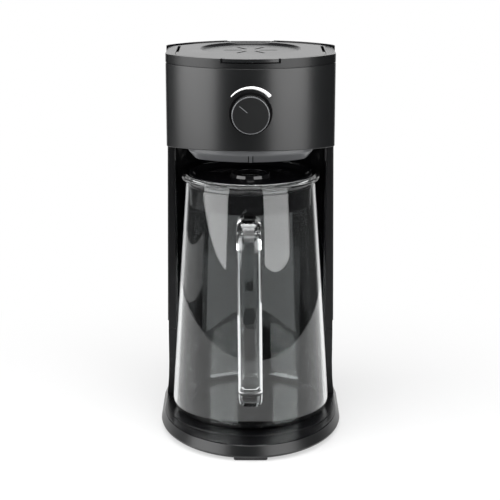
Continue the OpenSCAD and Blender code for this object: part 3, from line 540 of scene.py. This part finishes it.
# Head shell
# The satin barrel that holds the basket: a bowed wall, and a floor with the basket's hole in it.
# It drops onto the column and is held by the rear cover.
def barrel(half, front, rear, bow, corner):
    """Start and strokes of an outline with bowed front and rear, straight sides and round corners."""
    x = half - corner
    rise = math.sqrt((bow - corner) ** 2 - x ** 2)
    turn = math.degrees(math.atan2(rise, x))
    front_y = bow - front
    rear_y = rear - bow
    start = (-bow * math.cos(math.radians(turn)), front_y - bow * math.sin(math.radians(turn)))
    return start, [
        (0, front_y, 180 - 2 * turn),
        (x, front_y - rise, turn),
        (half, rear_y + rise),
        (x, rear_y + rise, turn),
        (0, rear_y, 180 - 2 * turn),
        (-x, rear_y + rise, turn),
        (-half, front_y - rise),
        (-x, front_y - rise, turn)]


def head_barrel(inset):
    """The head's outline, drawn in by an inset."""
    return barrel(column_half - inset, head_front - inset, column_rear - inset,
                  column_bow - inset, column_corner - inset)


def basket_barrel(inset):
    """The brew basket's outline, drawn in by an inset."""
    return barrel(basket_half - inset, basket_front - inset, basket_rear - inset,
                  basket_bow - inset, basket_corner - inset)


head_low, head_high = node_box("head_shell")
head_front, head_rake, floor_up = -head_low.y, 3, 3.5
head_floor_z = head_low.z + floor_up
basket_half, basket_front, basket_rear, basket_bow, basket_corner = 58.5, 31, 56, 90, 22
basket_gap = 0.4
bm = bmesh.new()
rim_line = draw_line(bm, *head_barrel(0), head_low.z)
raise_wall(bm, rim_line, head_high.z)
for v in points_of(rim_line):
    v.co.z += head_rake * max(0, -v.co.y) / head_front
face_out(bm, (0, -head_front, head_high.z), (0, -1, 0))
wall_faces = set(bm.faces)
hole_line = draw_line(bm, *basket_barrel(-basket_gap), head_floor_z)
floor_line = draw_line(bm, *head_barrel(wall / 2), head_floor_z)
fill(bm, hole_line + floor_line)
floor_faces = [f for f in bm.faces if f not in wall_faces]
bmesh.ops.recalc_face_normals(bm, faces=floor_faces)
upward = [f for f in floor_faces if f.normal.z > 0]
bmesh.ops.reverse_faces(bm, faces=upward)
head = set_in("head_barrel_shell", bm, satin_abs, "stand", "satin_black_abs", "head_shell")
thicken(head, wall)
soften(head, 0.7, segments=4)


# Dial scale
# A white wedge of pad-printed ink that bends round the knob and thickens towards strong.
# Printing ink: white, even and half matt.
white_ink = plastic("white_pad_print", "#ffffff", 0.45, 1.5, 0.004, speck=0)
scale_r, scale_thin, scale_wide, scale_half = 22.8, 1.0, 3.4, 51
scale_t, scale_up, scale_round, scale_steps = 0.35, 0.1, 1.2, 51
knob_low, knob_high = node_box("knob")
knob_z = (knob_low.z + knob_high.z) / 2
bm = bmesh.new()
inner_end = bm.verts.new((scale_r - scale_thin / 2, 0, 0))
outer_end = bm.verts.new((scale_r + scale_thin / 2, 0, 0))
strip = bm.edges.new((inner_end, outer_end))
bmesh.ops.spin(bm, geom=[inner_end, outer_end, strip], cent=(0, 0, 0), axis=(0, 0, 1),
               angle=math.radians(2 * scale_half), steps=scale_steps)
for v in bm.verts:
    swept = math.degrees(math.atan2(v.co.y, v.co.x)) / (2 * scale_half)
    width = scale_wide + (scale_thin - scale_wide) * swept
    side = 1 if v.co.length > scale_r else -1
    v.co = v.co.normalized() * (scale_r + side * width / 2)
strong_end = [v for v in bm.verts if abs(v.co.y) < 0.001]
bmesh.ops.bevel(bm, geom=strong_end, offset=scale_round, segments=4, profile=0.5,
                affect="VERTICES", material=-1)
tilt(bm, bm.verts, 90 - scale_half, "Z")
lifted = bmesh.ops.extrude_face_region(bm, geom=bm.faces[:])["geom"]
lifted = [v for v in lifted if isinstance(v, bmesh.types.BMVert)]
bmesh.ops.translate(bm, vec=(0, 0, scale_t), verts=lifted)
tilt(bm, bm.verts, 90, "X")
head_front_y = column_bow - head_front
for v in bm.verts:
    v.co.y += head_front_y - math.sqrt(column_bow ** 2 - v.co.x ** 2)
    v.co.z += knob_z + scale_up
bmesh.ops.recalc_face_normals(bm, faces=bm.faces)
set_in("strength_wedge", bm, white_ink, "stand", "white_print", "dial_scale")


# Knob
# A turned-looking charcoal knob with a fine grip round its side and a flat face with an inlaid
# pointer. It is pressed onto a steel shaft that carries the shutter disc behind the front wall.
knob_abs = plastic("fine_black_abs", "#090a0b", 0.42, 0.8, 0.008)
# A very dark, dull finish that paints shade. The disc behind the knob stands for the shaded recess
# round it, so that the knob stands out from it; the finish also paints the shade beside the basket's
# lever and along the rear cover's rim, and is the real matt black of the basket's spout.
matt_black_and_painted_shade = plastic("matt_black_abs_and_painted_shade", "#050506", 0.55, 0.8, 0.008, shine=0.1)
# A lighter grey on the knob's rounded front edge is a painted highlight for the thin bright rim it catches.
painted_highlight_grey = plastic("grey_painted_edge_highlight", "#5d5e60", 0.22, 0.8, 0.004)
# The pointer is set in as a strip of grey plastic.
grey_inlay = plastic("grey_inlay", "#636567", 0.4, 1.0, 0.004)
# Natural acetal, for what slides: the bush and the shutter disc.
acetal = plastic("natural_acetal", "#dcdad2", 0.35, 1.5, 0.006)
knob_r, shade_disc_r, shade_disc_t, shade_disc_round = 17.3, 19.7, 2, 0.6
knob_l = knob_high.y - knob_low.y
knob_edge, face_edge, face_drop = 1.1, 1.2, 0.05
grip_count, grip_depth, grip_end, grip_ramp = 60, 0.45, 1, 0.2
grip_low, grip_high = shade_disc_t + grip_end, knob_l - knob_edge - grip_end
crest_drop, crest_in = 0.4, 0.5
crease = math.radians(38)
bm = bmesh.new()
lathe(bm, (0, knob_l), [
    (knob_r - knob_edge - face_edge, knob_l),
    (knob_r - knob_edge, knob_l - face_drop),
    (knob_r - knob_edge, knob_l - knob_edge, -88),
    (knob_r, grip_high + grip_ramp),
    (knob_r, grip_high),
    (knob_r, grip_low + grip_ramp),
    (knob_r, grip_low),
    (knob_r, shade_disc_t / 2),
    (0, shade_disc_t / 2)], steps=4 * grip_count)
# The rounded front edge takes the grey of the painted highlight.
for face in bm.faces:
    middle = face.calc_center_median()
    if middle.z > knob_l - knob_edge and middle.xy.length > knob_r - knob_edge:
        face.material_index = 1
grip = []
for v in bm.verts:
    turn = round(math.atan2(v.co.y, v.co.x) / math.tau * 4 * grip_count) % 4
    on_side = grip_low - grip_ramp / 2 < v.co.z < knob_l - crest_drop
    if turn < 2 and on_side and v.co.xy.length > knob_r - crest_in:
        grip.append(v)
bmesh.ops.scale(bm, vec=(1 - grip_depth / knob_r, 1 - grip_depth / knob_r, 1), verts=grip)
bmesh.ops.recalc_face_normals(bm, faces=bm.faces)
tilt(bm, bm.verts, 90, "X")
bmesh.ops.translate(bm, vec=(0, knob_high.y, knob_z), verts=bm.verts)
knob = set_in("strength_knob", bm, knob_abs, "knob", "satin_black_abs", "knob")
knob.data.materials.append(painted_highlight_grey)
knob.data.set_sharp_from_angle(angle=crease)

# A dark, dull disc behind the knob: painted shade for the recess round it.
bm = bmesh.new()
lathe(bm, (0, 0), [
    (shade_disc_r, 0),
    (shade_disc_r, shade_disc_t - shade_disc_round),
    (shade_disc_r - shade_disc_round, shade_disc_t - shade_disc_round, 90),
    (0, shade_disc_t)])
bmesh.ops.recalc_face_normals(bm, faces=bm.faces)
tilt(bm, bm.verts, 90, "X")
bmesh.ops.translate(bm, vec=(0, knob_high.y, knob_z), verts=bm.verts)
shade_disc = set_in("knob_shade_disc", bm, matt_black_and_painted_shade, "knob", "satin_black_abs")
shade_disc.data.set_sharp_from_angle(angle=crease)

pointer_in, pointer_out, pointer_w, pointer_t = 3.8, 13.2, 0.6, 0.5
pointer_proud, pointer_turn = 0.06, 50
bm = bmesh.new()
block(bm, (pointer_w, pointer_t, pointer_out - pointer_in), (0, 0, (pointer_out + pointer_in) / 2))
tilt(bm, bm.verts, -pointer_turn, "Y")
bmesh.ops.translate(bm, vec=(0, knob_low.y + pointer_t / 2 - pointer_proud, knob_z), verts=bm.verts)
pointer = set_in("pointer_inlay", bm, grey_inlay, "knob", "grey_inlay", "knob_pointer")
pointer.data.set_sharp_from_angle(angle=crease)
dress(zinc_steel, "knob_shaft", "shaft_clip")
dress(acetal, "shaft_bush", "flow_disc")


# Brew basket
# A grey moulding that hangs by its flange in the deck. Its slanted foot shows under the head and
# ends in a short spout; a tea filter of perforated sheet stands inside it.
# Satin polypropylene, a mid grey.
basket_grey = plastic("satin_grey_polypropylene", "#606163", 0.26, 0.9, 0.006)
basket_low, basket_high = node_box("brew_basket")
spout_r, spout_bore, spout_l, spout_edge, spout_sunk = 7, 5, 4, 0.6, 1
foot_z, foot_in, foot_rise = basket_low.z + spout_l, 6.3, 7.5
basket_wall, brim_w = 2, 2.4
deck_z = basket_high.z - basket_wall
bm = bmesh.new()
sole_line = draw_line(bm, *basket_barrel(foot_in), foot_z)
belly_line = draw_line(bm, *basket_barrel(0), foot_z + foot_rise)
bmesh.ops.bridge_loops(bm, edges=sole_line + belly_line)
bmesh.ops.edgeloop_fill(bm, edges=sole_line)
neck_line = raise_wall(bm, belly_line, deck_z)
brim_line = raise_wall(bm, neck_line, deck_z)
draw_in(bm, brim_line, (0, (basket_rear - basket_front) / 2), (
    1 + brim_w / basket_half, 1 + 2 * brim_w / (basket_rear + basket_front)))
bmesh.ops.recalc_face_normals(bm, faces=bm.faces)
face_out(bm, (0, 0, foot_z), (0, 0, -1))
basket = set_in("brew_basket_shell", bm, basket_grey, "stand", "grey_basket_plastic", "brew_basket")
thicken(basket, basket_wall)
soften(basket, 1.0, segments=4, angle=30)

bm = bmesh.new()
lathe(bm, (spout_bore, basket_low.z), [
    (spout_r - spout_edge, basket_low.z),
    (spout_r, basket_low.z + spout_edge),
    (spout_r, foot_z + spout_sunk),
    (spout_bore, foot_z + spout_sunk),
    (spout_bore, basket_low.z)], steps=64)
bmesh.ops.recalc_face_normals(bm, faces=bm.faces)
spout = set_in("basket_spout", bm, matt_black_and_painted_shade, "stand", "satin_black_abs")
spout.data.set_sharp_from_angle(angle=math.radians(30))

# The dark strip under the lever is painted shade: it shows at the lever's sides as the shade of the gap it
# sits in.
lever_w, lever_gap, lever_t, lever_short, shade_strip_proud = 3.2, 0.8, 0.6, 1, 0.12
slope = math.degrees(math.atan2(foot_in, foot_rise))
lever_l = math.hypot(foot_in, foot_rise) - lever_short
slope_middle = Vector((0, -basket_front + foot_in / 2, foot_z + foot_rise / 2))
for name, finish, slot, width, proud in (
        ("lever_shade_strip", matt_black_and_painted_shade, "satin_black_abs", lever_w + 2 * lever_gap, shade_strip_proud),
        ("drip_lever", basket_grey, "grey_basket_plastic", lever_w, lever_t)):
    bm = bmesh.new()
    block(bm, (width, 2 * proud, lever_l))
    tilt(bm, bm.verts, slope, "X")
    bmesh.ops.translate(bm, vec=slope_middle, verts=bm.verts)
    bar = set_in(name, bm, finish, "stand", slot)
    soften(bar, proud / 2)
dress(basket_grey, "basket_deck", "spray_head")
# The filter is of perforated steel with a gold-toned coat.
filter_mesh = metal("perforated_gold_tone_steel", "#c2a860", 0.35, 0.8)
dress(filter_mesh, "tea_filter")


# Head ring
# The satin collar that caps the head and frames the lid. A shadow groove parts it from the shell,
# a notch in its front takes the lid's tab, and two ears at its rear hold the hinge pin.
def combine(piece, tool, operation):
    """Applies a piece's modifiers and a boolean of a tool to its mesh, and removes the tool."""
    join = piece.modifiers.new("join", "BOOLEAN")
    join.operation = operation
    join.solver = "EXACT"
    join.object = tool
    shown = piece.evaluated_get(bpy.context.evaluated_depsgraph_get())
    made = bpy.data.meshes.new_from_object(shown)
    piece.modifiers.clear()
    piece.data = made
    bpy.data.objects.remove(tool)


def cut(piece, name, low, high):
    """Cuts a box, given by its corners in mm, out of a piece."""
    bm = bmesh.new()
    block(bm, Vector(high) - Vector(low), (Vector(high) + Vector(low)) / 2)
    combine(piece, place_mesh(name, bm), "DIFFERENCE")


def lid_barrel(inset):
    """The lid's outline, drawn in by an inset."""
    return barrel(lid_half - inset, lid_front - inset, lid_rear - inset, lid_bow - inset, lid_corner - inset)


# The same plastic from a finer tool: broad faces pick up more of the backdrop at a low angle.
lid_abs = plastic("fine_satin_black_abs", "#161718", 0.24, 0.9, 0.006)
seam_z, seam_h, seam_in = node_box("head_ring")[0].z, 0.9, 0.7
collar_h, corner_dip, rear_dip, dip_reach, wall_rise = 8.6, 1.4, 0.9, 1, 0.5
top_z = seam_z + collar_h
lid_half, lid_front, lid_rear, lid_bow, lid_corner = 69.1, 36.5, 93, 93, 10
lid_gap, tab_w, tab_end, tab_gap, tab_t = 0.5, 50.5, 1.9, 1, 3
hinge_y, hinge_r, hinge_drop, barrel_l, barrel_gap, ear_l = 98.6, 2.2, 2, 40, 0.4, 6
hinge_z = top_z - hinge_drop
cut_past, notch_in = 5, 2
bm = bmesh.new()
rim_line = draw_line(bm, *head_barrel(0), top_z)
for v in points_of(rim_line):
    if v.co.y > side_y - dip_reach:
        v.co.z -= rear_dip + (corner_dip - rear_dip) * (column_rear - v.co.y) / (column_rear - side_y)
mouth_line = draw_line(bm, *lid_barrel(-lid_gap), top_z)
fill(bm, rim_line + mouth_line)
side_line = raise_wall(bm, rim_line, seam_z + seam_h)
step_line = raise_wall(bm, side_line, seam_z + seam_h)
draw_in(bm, step_line, (0, (column_rear - head_front) / 2), (
    1 - seam_in / column_half, 1 - 2 * seam_in / (column_rear + head_front)))
foot_line = raise_wall(bm, step_line, seam_z)
well_line = raise_wall(bm, mouth_line, seam_z)
fill(bm, foot_line + well_line)
bmesh.ops.recalc_face_normals(bm, faces=bm.faces)
for face in bm.faces:
    if abs(face.normal.z) < wall_rise:
        face.material_index = 1
ring = set_in("head_collar", bm, lid_abs, "stand", "satin_black_abs", "head_ring")
ring.data.materials.append(grain_abs)
tab_x = tab_w / 2 + tab_end
cut(ring, "tab_notch", (-tab_x, -head_front - cut_past, top_z - tab_t - tab_gap),
    (tab_x, -lid_front + notch_in, top_z + cut_past))
barrel_x, barrel_room = barrel_l / 2 + barrel_gap, hinge_r + barrel_gap
cut(ring, "hinge_notch", (-barrel_x, lid_rear - cut_past, hinge_z - barrel_room),
    (barrel_x, hinge_y + barrel_room, top_z + cut_past))
soften(ring, 0.8, segments=4)

bm = bmesh.new()
for side in (-1, 1):
    ear = rod(bm, hinge_r, ear_l, 40)
    tilt(bm, ear, 90, "Y")
    bmesh.ops.translate(bm, vec=(side * (barrel_x + ear_l / 2), hinge_y, hinge_z), verts=ear)
ears = set_in("hinge_ears", bm, satin_abs, "stand", "satin_black_abs")
soften(ears, 0.5)
dress(zinc_steel, "hinge_pin")


# Lid
# A satin plate with a shallow round dish for filling and a star of vent slots in the dish. It has a
# slit along each side, a finger tab at the front and a hinge barrel at the rear.
lid_t = 3
dish_r, dish_y, dish_depth, dish_slope, dish_toe = 48.5, 43, 2, 2.2, 0.5
floor_r = dish_r - dish_slope - dish_toe
slot_count, slot_in, slot_out, slot_w = 6, 9.5, 24, 2.8
relief_w, relief_low, relief_high = 2.2, 13, 58
lid_front_y = lid_bow - lid_front
tab_edge = lid_front_y - math.sqrt(lid_bow ** 2 - (tab_w / 2) ** 2)
tab_back = 0.5
tab_r = column_bow - tab_back
tab_tip = head_front_y - math.sqrt(tab_r ** 2 - (tab_w / 2) ** 2)
tab_turn = 2 * math.degrees(math.asin(tab_w / 2 / tab_r))
start, strokes = lid_barrel(0)
front_turn = strokes[0][2]
root_turn = 2 * math.degrees(math.asin(tab_w / 2 / lid_bow))
half_turn = (front_turn - root_turn) / 2
bm = bmesh.new()
plate_line = draw_line(bm, start, [
    (0, lid_front_y, half_turn),
    (-tab_w / 2, tab_tip),
    (0, head_front_y, tab_turn),
    (tab_w / 2, tab_edge),
    (0, lid_front_y, half_turn),
    strokes[1],
    (lid_half, relief_low),
    (lid_half - relief_w, relief_low),
    (lid_half - relief_w, relief_high),
    (lid_half, relief_high)] + strokes[2:6] + [
    (-lid_half, relief_high),
    (-lid_half + relief_w, relief_high),
    (-lid_half + relief_w, relief_low),
    (-lid_half, relief_low)] + strokes[6:], top_z)
dish = lathe(bm, (dish_r, 0), [
    (dish_r - 0.5, -0.15),
    (dish_r - 0.9, -0.5),
    (dish_r - dish_slope + 0.6, -dish_depth + 0.5),
    (dish_r - dish_slope + 0.2, -dish_depth + 0.15),
    (floor_r, -dish_depth)])
dish_rim = loop_at(dish, dish_r, 0)
dish_floor = loop_at(dish, floor_r, -dish_depth)
slots = []
for i in range(slot_count):
    line = draw_line(bm, (slot_in, -slot_w / 2), [
        (slot_out, -slot_w / 2),
        (slot_out, 0, 180),
        (slot_in, slot_w / 2),
        (slot_in, 0, 180)], -dish_depth)
    tilt(bm, points_of(line), 360 * i / slot_count, "Z")
    slots += line
fill(bm, dish_floor + slots)
bmesh.ops.translate(bm, vec=(0, dish_y, top_z), verts=points_of(dish + slots))
fill(bm, plate_line + dish_rim)
face_out(bm, (0, -lid_front, top_z), (0, 0, 1))
lid = set_in("lid_plate", bm, lid_abs, "lid", "satin_black_abs", "lid")
thicken(lid, lid_t)
soften(lid, 0.5, angle=50)

leaf_in, leaf_drop = 2, 0.2
leaf_t = lid_t - leaf_drop
bm = bmesh.new()
rod(bm, hinge_r, barrel_l, 40)
tilt(bm, bm.verts, 90, "Y")
bmesh.ops.translate(bm, vec=(0, hinge_y, hinge_z), verts=bm.verts)
block(bm, (barrel_l, hinge_y - lid_rear + leaf_in, leaf_t), (
    0, (hinge_y + lid_rear - leaf_in) / 2, top_z - leaf_drop - leaf_t / 2))
hinge = set_in("lid_hinge_barrel", bm, lid_abs, "lid", "satin_black_abs")
soften(hinge, 0.4)


# Rear cover
# A gloss-black shell that wraps the rear of the column and the head and stands a little above the
# collar, with a gap for the lid's hinge. It clips over both and hides their fixings.
cover_lap, cover_gap, cover_clear, cover_drop = 2.2, 0.1, 0.4, 0.2
gap_w, gap_h, gap_near, gap_far = barrel_l + 6, 3, 80, 120
edge_back = 0.2
cover_edge_y = side_y + edge_back
cover_top_z = node_box("rear_cover")[1].z
cover_corner = column_corner + cover_lap
edge_turn = math.degrees(math.asin((cover_edge_y - side_y) / cover_corner))
edge_x = side_x + cover_corner * math.cos(math.radians(edge_turn))
bm = bmesh.new()
low_line = draw_line(bm, (edge_x, cover_edge_y), [
    (side_x, side_y, side_turn - edge_turn),
    (0, rear_bow_y, 180 - 2 * side_turn),
    (-side_x, side_y, side_turn - edge_turn)], part_z)
levels = [low_line]
for z in (column_high.z, cover_top_z):
    levels.append(raise_wall(bm, levels[-1], z))
draw_in(bm, low_line, (0, wing_y), (
    1 + column_draft / column_half, 1 + column_draft / (column_rear - wing_y)))
for v in points_of(levels[-1]):
    v.co.z -= cover_clear + cover_drop * (v.co.y - cover_edge_y) / (column_rear - cover_edge_y)
face_out(bm, (0, column_rear, part_z), (0, 1, 0))
cover = set_in("rear_cover_shell", bm, gloss_abs, "stand", "gloss_black_abs", "rear_cover")
cover.data.materials.append(matt_black_and_painted_shade)
thicken(cover, cover_lap - cover_gap)
# The wall's rim takes the dark matt finish: painted shade that keeps the cover's top edge a black line.
cover.modifiers["wall"].material_offset_rim = 1
cut(cover, "hinge_gap", (-gap_w / 2, gap_near, top_z - gap_h), (gap_w / 2, gap_far, top_z + cut_past))
soften(cover, 0.4)
dress(satin_abs, "cord_inlet")


# Mains switch
# A black rocker on a steel pin, in a frame that snaps into the right-hand side of the root.
dress(satin_abs, "switch_body")
dress(gloss_abs, "power_rocker")
dress(zinc_steel, "rocker_pin")


# Water path
# Tank, hoses, check valve, cast boiler with its bracket and cut-outs, and the riser to the spray
# head: all shut inside the column.
def clear(name, tint, roughness, index, ripple):
    """Clear material with faint ripples of that size in mm."""
    finish = bpy.data.materials.new(name)
    finish.use_nodes = True
    tree = finish.node_tree
    tree.nodes.clear()
    place = add_node(tree, "TexCoord").outputs["Object"]
    noise = {"Vector": place, "Scale": 1 / (ripple * millimetre), "Detail": 1}
    wave = add_node(tree, "TexNoise", noise).outputs["Fac"]
    bump = add_node(tree, "Bump", {"Height": wave, "Distance": 0.02 * millimetre, "Strength": 1})
    surface = add_node(tree, "BsdfPrincipled", {
        "Base Color": srgb(tint), "Roughness": roughness, "IOR": index,
        "Transmission Weight": 1, "Normal": bump.outputs[0]})
    add_node(tree, "OutputMaterial", {"Surface": surface.outputs[0]})
    return finish


# Clear SAN for the tank, milky silicone for the hoses, and bare cast and turned metals at the boiler.
tank_clear = clear("clear_san_tank", "#eef2f3", 0.08, 1.57, 40)
silicone = plastic("translucent_silicone", "#cfd0cc", 0.5, 2, 0.01)
cast_metal = metal("cast_aluminium", "#b6b8ba", 0.45, 1.2)
brass = metal("brass", "#c9a254", 0.3, 0.8)
dress(tank_clear, "water_tank")
dress(silicone, "tank_hose", "valve_hose", "riser_tube")
dress(acetal, "check_valve")
dress(cast_metal, "boiler_block")
dress(zinc_steel, "boiler_bracket", "thermostat")
dress(brass, "thermal_fuse")


# Jug
# Blown borosilicate glass: a tall cone on a rounded bottom, with a bead round its neck under the rim
# and a flat glass strap fused on as a handle.
glass = clear("borosilicate_glass", "#f6f8f8", 0.0, 1.47, 60)
jug_low, jug_high = node_box("jug_glass")
jug_z, bead_z, rim_z = jug_low.z, jug_high.z - 1.4, jug_high.z + 2.2
jug_r, jug_edge, jug_wide = 75.2, 10.5, 15
neck_r, lip_r, glass_t = 61.2, 64.7, 3
handle_w, handle_t, top_bend, low_bend, strap_lean = 22, 13, 18, 11, 1.7
grip_y = jug_low.y + handle_t / 2
arm_top_z, arm_low_z = jug_high.z - 31.5, jug_z + 39.5
lip_bead, bead_turn, bead_under, bead_over = 1.7, 240, 2.8, 2.3
bead_x = lip_r - lip_bead + lip_bead * math.cos(math.radians(bead_turn / 2))
bead_half = lip_bead * math.sin(math.radians(bead_turn / 2))
neck_z = bead_z - bead_under
edge_z = jug_z + jug_edge
rim_round, ease_r, ease_z, sole_in = 0.7, 0.3, 4, 1
bottom_t, bottom_round = 3, 7.5
bm = bmesh.new()
lathe(bm, (0, jug_z), [
    (jug_r - jug_edge - sole_in, jug_z),
    (jug_r - jug_edge, jug_z),
    (jug_r - jug_edge, edge_z, 87),
    (jug_r, jug_z + jug_wide),
    (jug_r - ease_r, jug_z + jug_wide + ease_z),
    (neck_r + ease_r, neck_z - ease_z),
    (neck_r, neck_z),
    (bead_x, bead_z - bead_half),
    (lip_r - lip_bead, bead_z, bead_turn),
    (neck_r, bead_z + bead_over),
    (neck_r, rim_z - rim_round),
    (neck_r - rim_round, rim_z - rim_round, 90),
    (neck_r - glass_t + rim_round, rim_z),
    (neck_r - glass_t + rim_round, rim_z - rim_round, 90),
    (neck_r - glass_t, neck_z),
    (neck_r - glass_t + ease_r, neck_z - ease_z),
    (jug_r - glass_t - ease_r, jug_z + jug_wide + ease_z),
    (jug_r - glass_t, jug_z + jug_wide),
    (jug_r - glass_t, jug_z + bottom_t + bottom_round),
    (jug_r - glass_t - bottom_round, jug_z + bottom_t + bottom_round, -90),
    (jug_r - glass_t - bottom_round - sole_in, jug_z + bottom_t),
    (0, jug_z + bottom_t)], steps=160)
bmesh.ops.recalc_face_normals(bm, faces=bm.faces)
jug = set_in("jug_glass_blown", bm, glass, "jug", "clear_glass", "jug_glass")

flat, low_root, top_root = 2.2, -71.9, -61.3
bm = bmesh.new()
section = draw_line(bm, (-flat, -handle_t / 2), [
    (flat, -handle_t / 2),
    (flat, 0, 180),
    (-flat, handle_t / 2),
    (-flat, 0, 180)], 0)
bmesh.ops.scale(bm, vec=(handle_w / (2 * flat + handle_t), 1, 1), verts=bm.verts)
tilt(bm, bm.verts, 90, "X")
bmesh.ops.translate(bm, vec=(0, low_root, arm_low_z), verts=bm.verts)
bmesh.ops.edgeloop_fill(bm, edges=section)


def push(bm, edges, vec):
    """Pulls an edge loop along a straight run, and returns its far edges."""
    pulled = bmesh.ops.extrude_edge_only(bm, edges=edges)["geom"]
    far_end = [v for v in pulled if isinstance(v, bmesh.types.BMVert)]
    bmesh.ops.translate(bm, vec=vec, verts=far_end)
    return [e for e in pulled if isinstance(e, bmesh.types.BMEdge)]


def bend(bm, edges, centre):
    """Turns an edge loop by a quarter towards the top, and returns its far edges."""
    swept = bmesh.ops.spin(bm, geom=points_of(edges) + edges, cent=centre, axis=(1, 0, 0),
                           angle=math.radians(-90), steps=20)["geom_last"]
    return [e for e in swept if isinstance(e, bmesh.types.BMEdge)]


bar = push(bm, section, (0, grip_y + low_bend - low_root, 0))
bar = bend(bm, bar, (0, grip_y + low_bend, arm_low_z + low_bend))
bar = push(bm, bar, (0, 0, arm_top_z - arm_low_z - low_bend - top_bend))
bar = bend(bm, bar, (0, grip_y + top_bend, arm_top_z - top_bend))
bar = push(bm, bar, (0, top_root - grip_y - top_bend, 0))
bmesh.ops.edgeloop_fill(bm, edges=bar)
bmesh.ops.recalc_face_normals(bm, faces=bm.faces)
for v in bm.verts:
    v.co.x -= strap_lean * (v.co.z - arm_low_z) / (arm_top_z - arm_low_z)
strap = place_mesh("strap", bm)
strap.data.materials.append(glass)
strap.data.shade_smooth()
combine(jug, strap, "UNION")
jug.data.set_sharp_from_angle(angle=math.radians(40))


# Jug lid
# A gloss-black stopper with a dished top and a hole that the tea runs in by. Its skirt drops into
# the neck and is held by a thin rubber ring.
inlet_r, skirt_r, skirt_wall, skirt_z = 15, 57.3, 2, jug_high.z - 26.5
cap_r, cap_z, cap_t, cap_dish = 58, jug_high.z + 2, 2.2, 3.8
cap_rim, cap_inner = 3, 6
boss_w, boss_h, boss_taper = 4, 3.6, 1.2
dish_z = cap_z - cap_dish
bm = bmesh.new()
lathe(bm, (inlet_r, dish_z - cap_t), [
    (skirt_r - skirt_wall, dish_z - cap_t),
    (skirt_r - skirt_wall, skirt_z),
    (skirt_r, skirt_z),
    (skirt_r, dish_z - cap_t),
    (cap_r, dish_z - cap_t / 2),
    (cap_r, cap_z),
    (cap_r - cap_rim, cap_z),
    (cap_r - cap_inner, dish_z),
    (inlet_r + boss_w, dish_z),
    (inlet_r + boss_w - boss_taper, dish_z + boss_h),
    (inlet_r, dish_z + boss_h),
    (inlet_r, dish_z - cap_t)])
bmesh.ops.recalc_face_normals(bm, faces=bm.faces)
jug_lid = set_in("jug_stopper", bm, gloss_abs, "jug_cap", "gloss_black_abs", "jug_lid")
soften(jug_lid, 0.6)
dress(rubber, "jug_gasket")
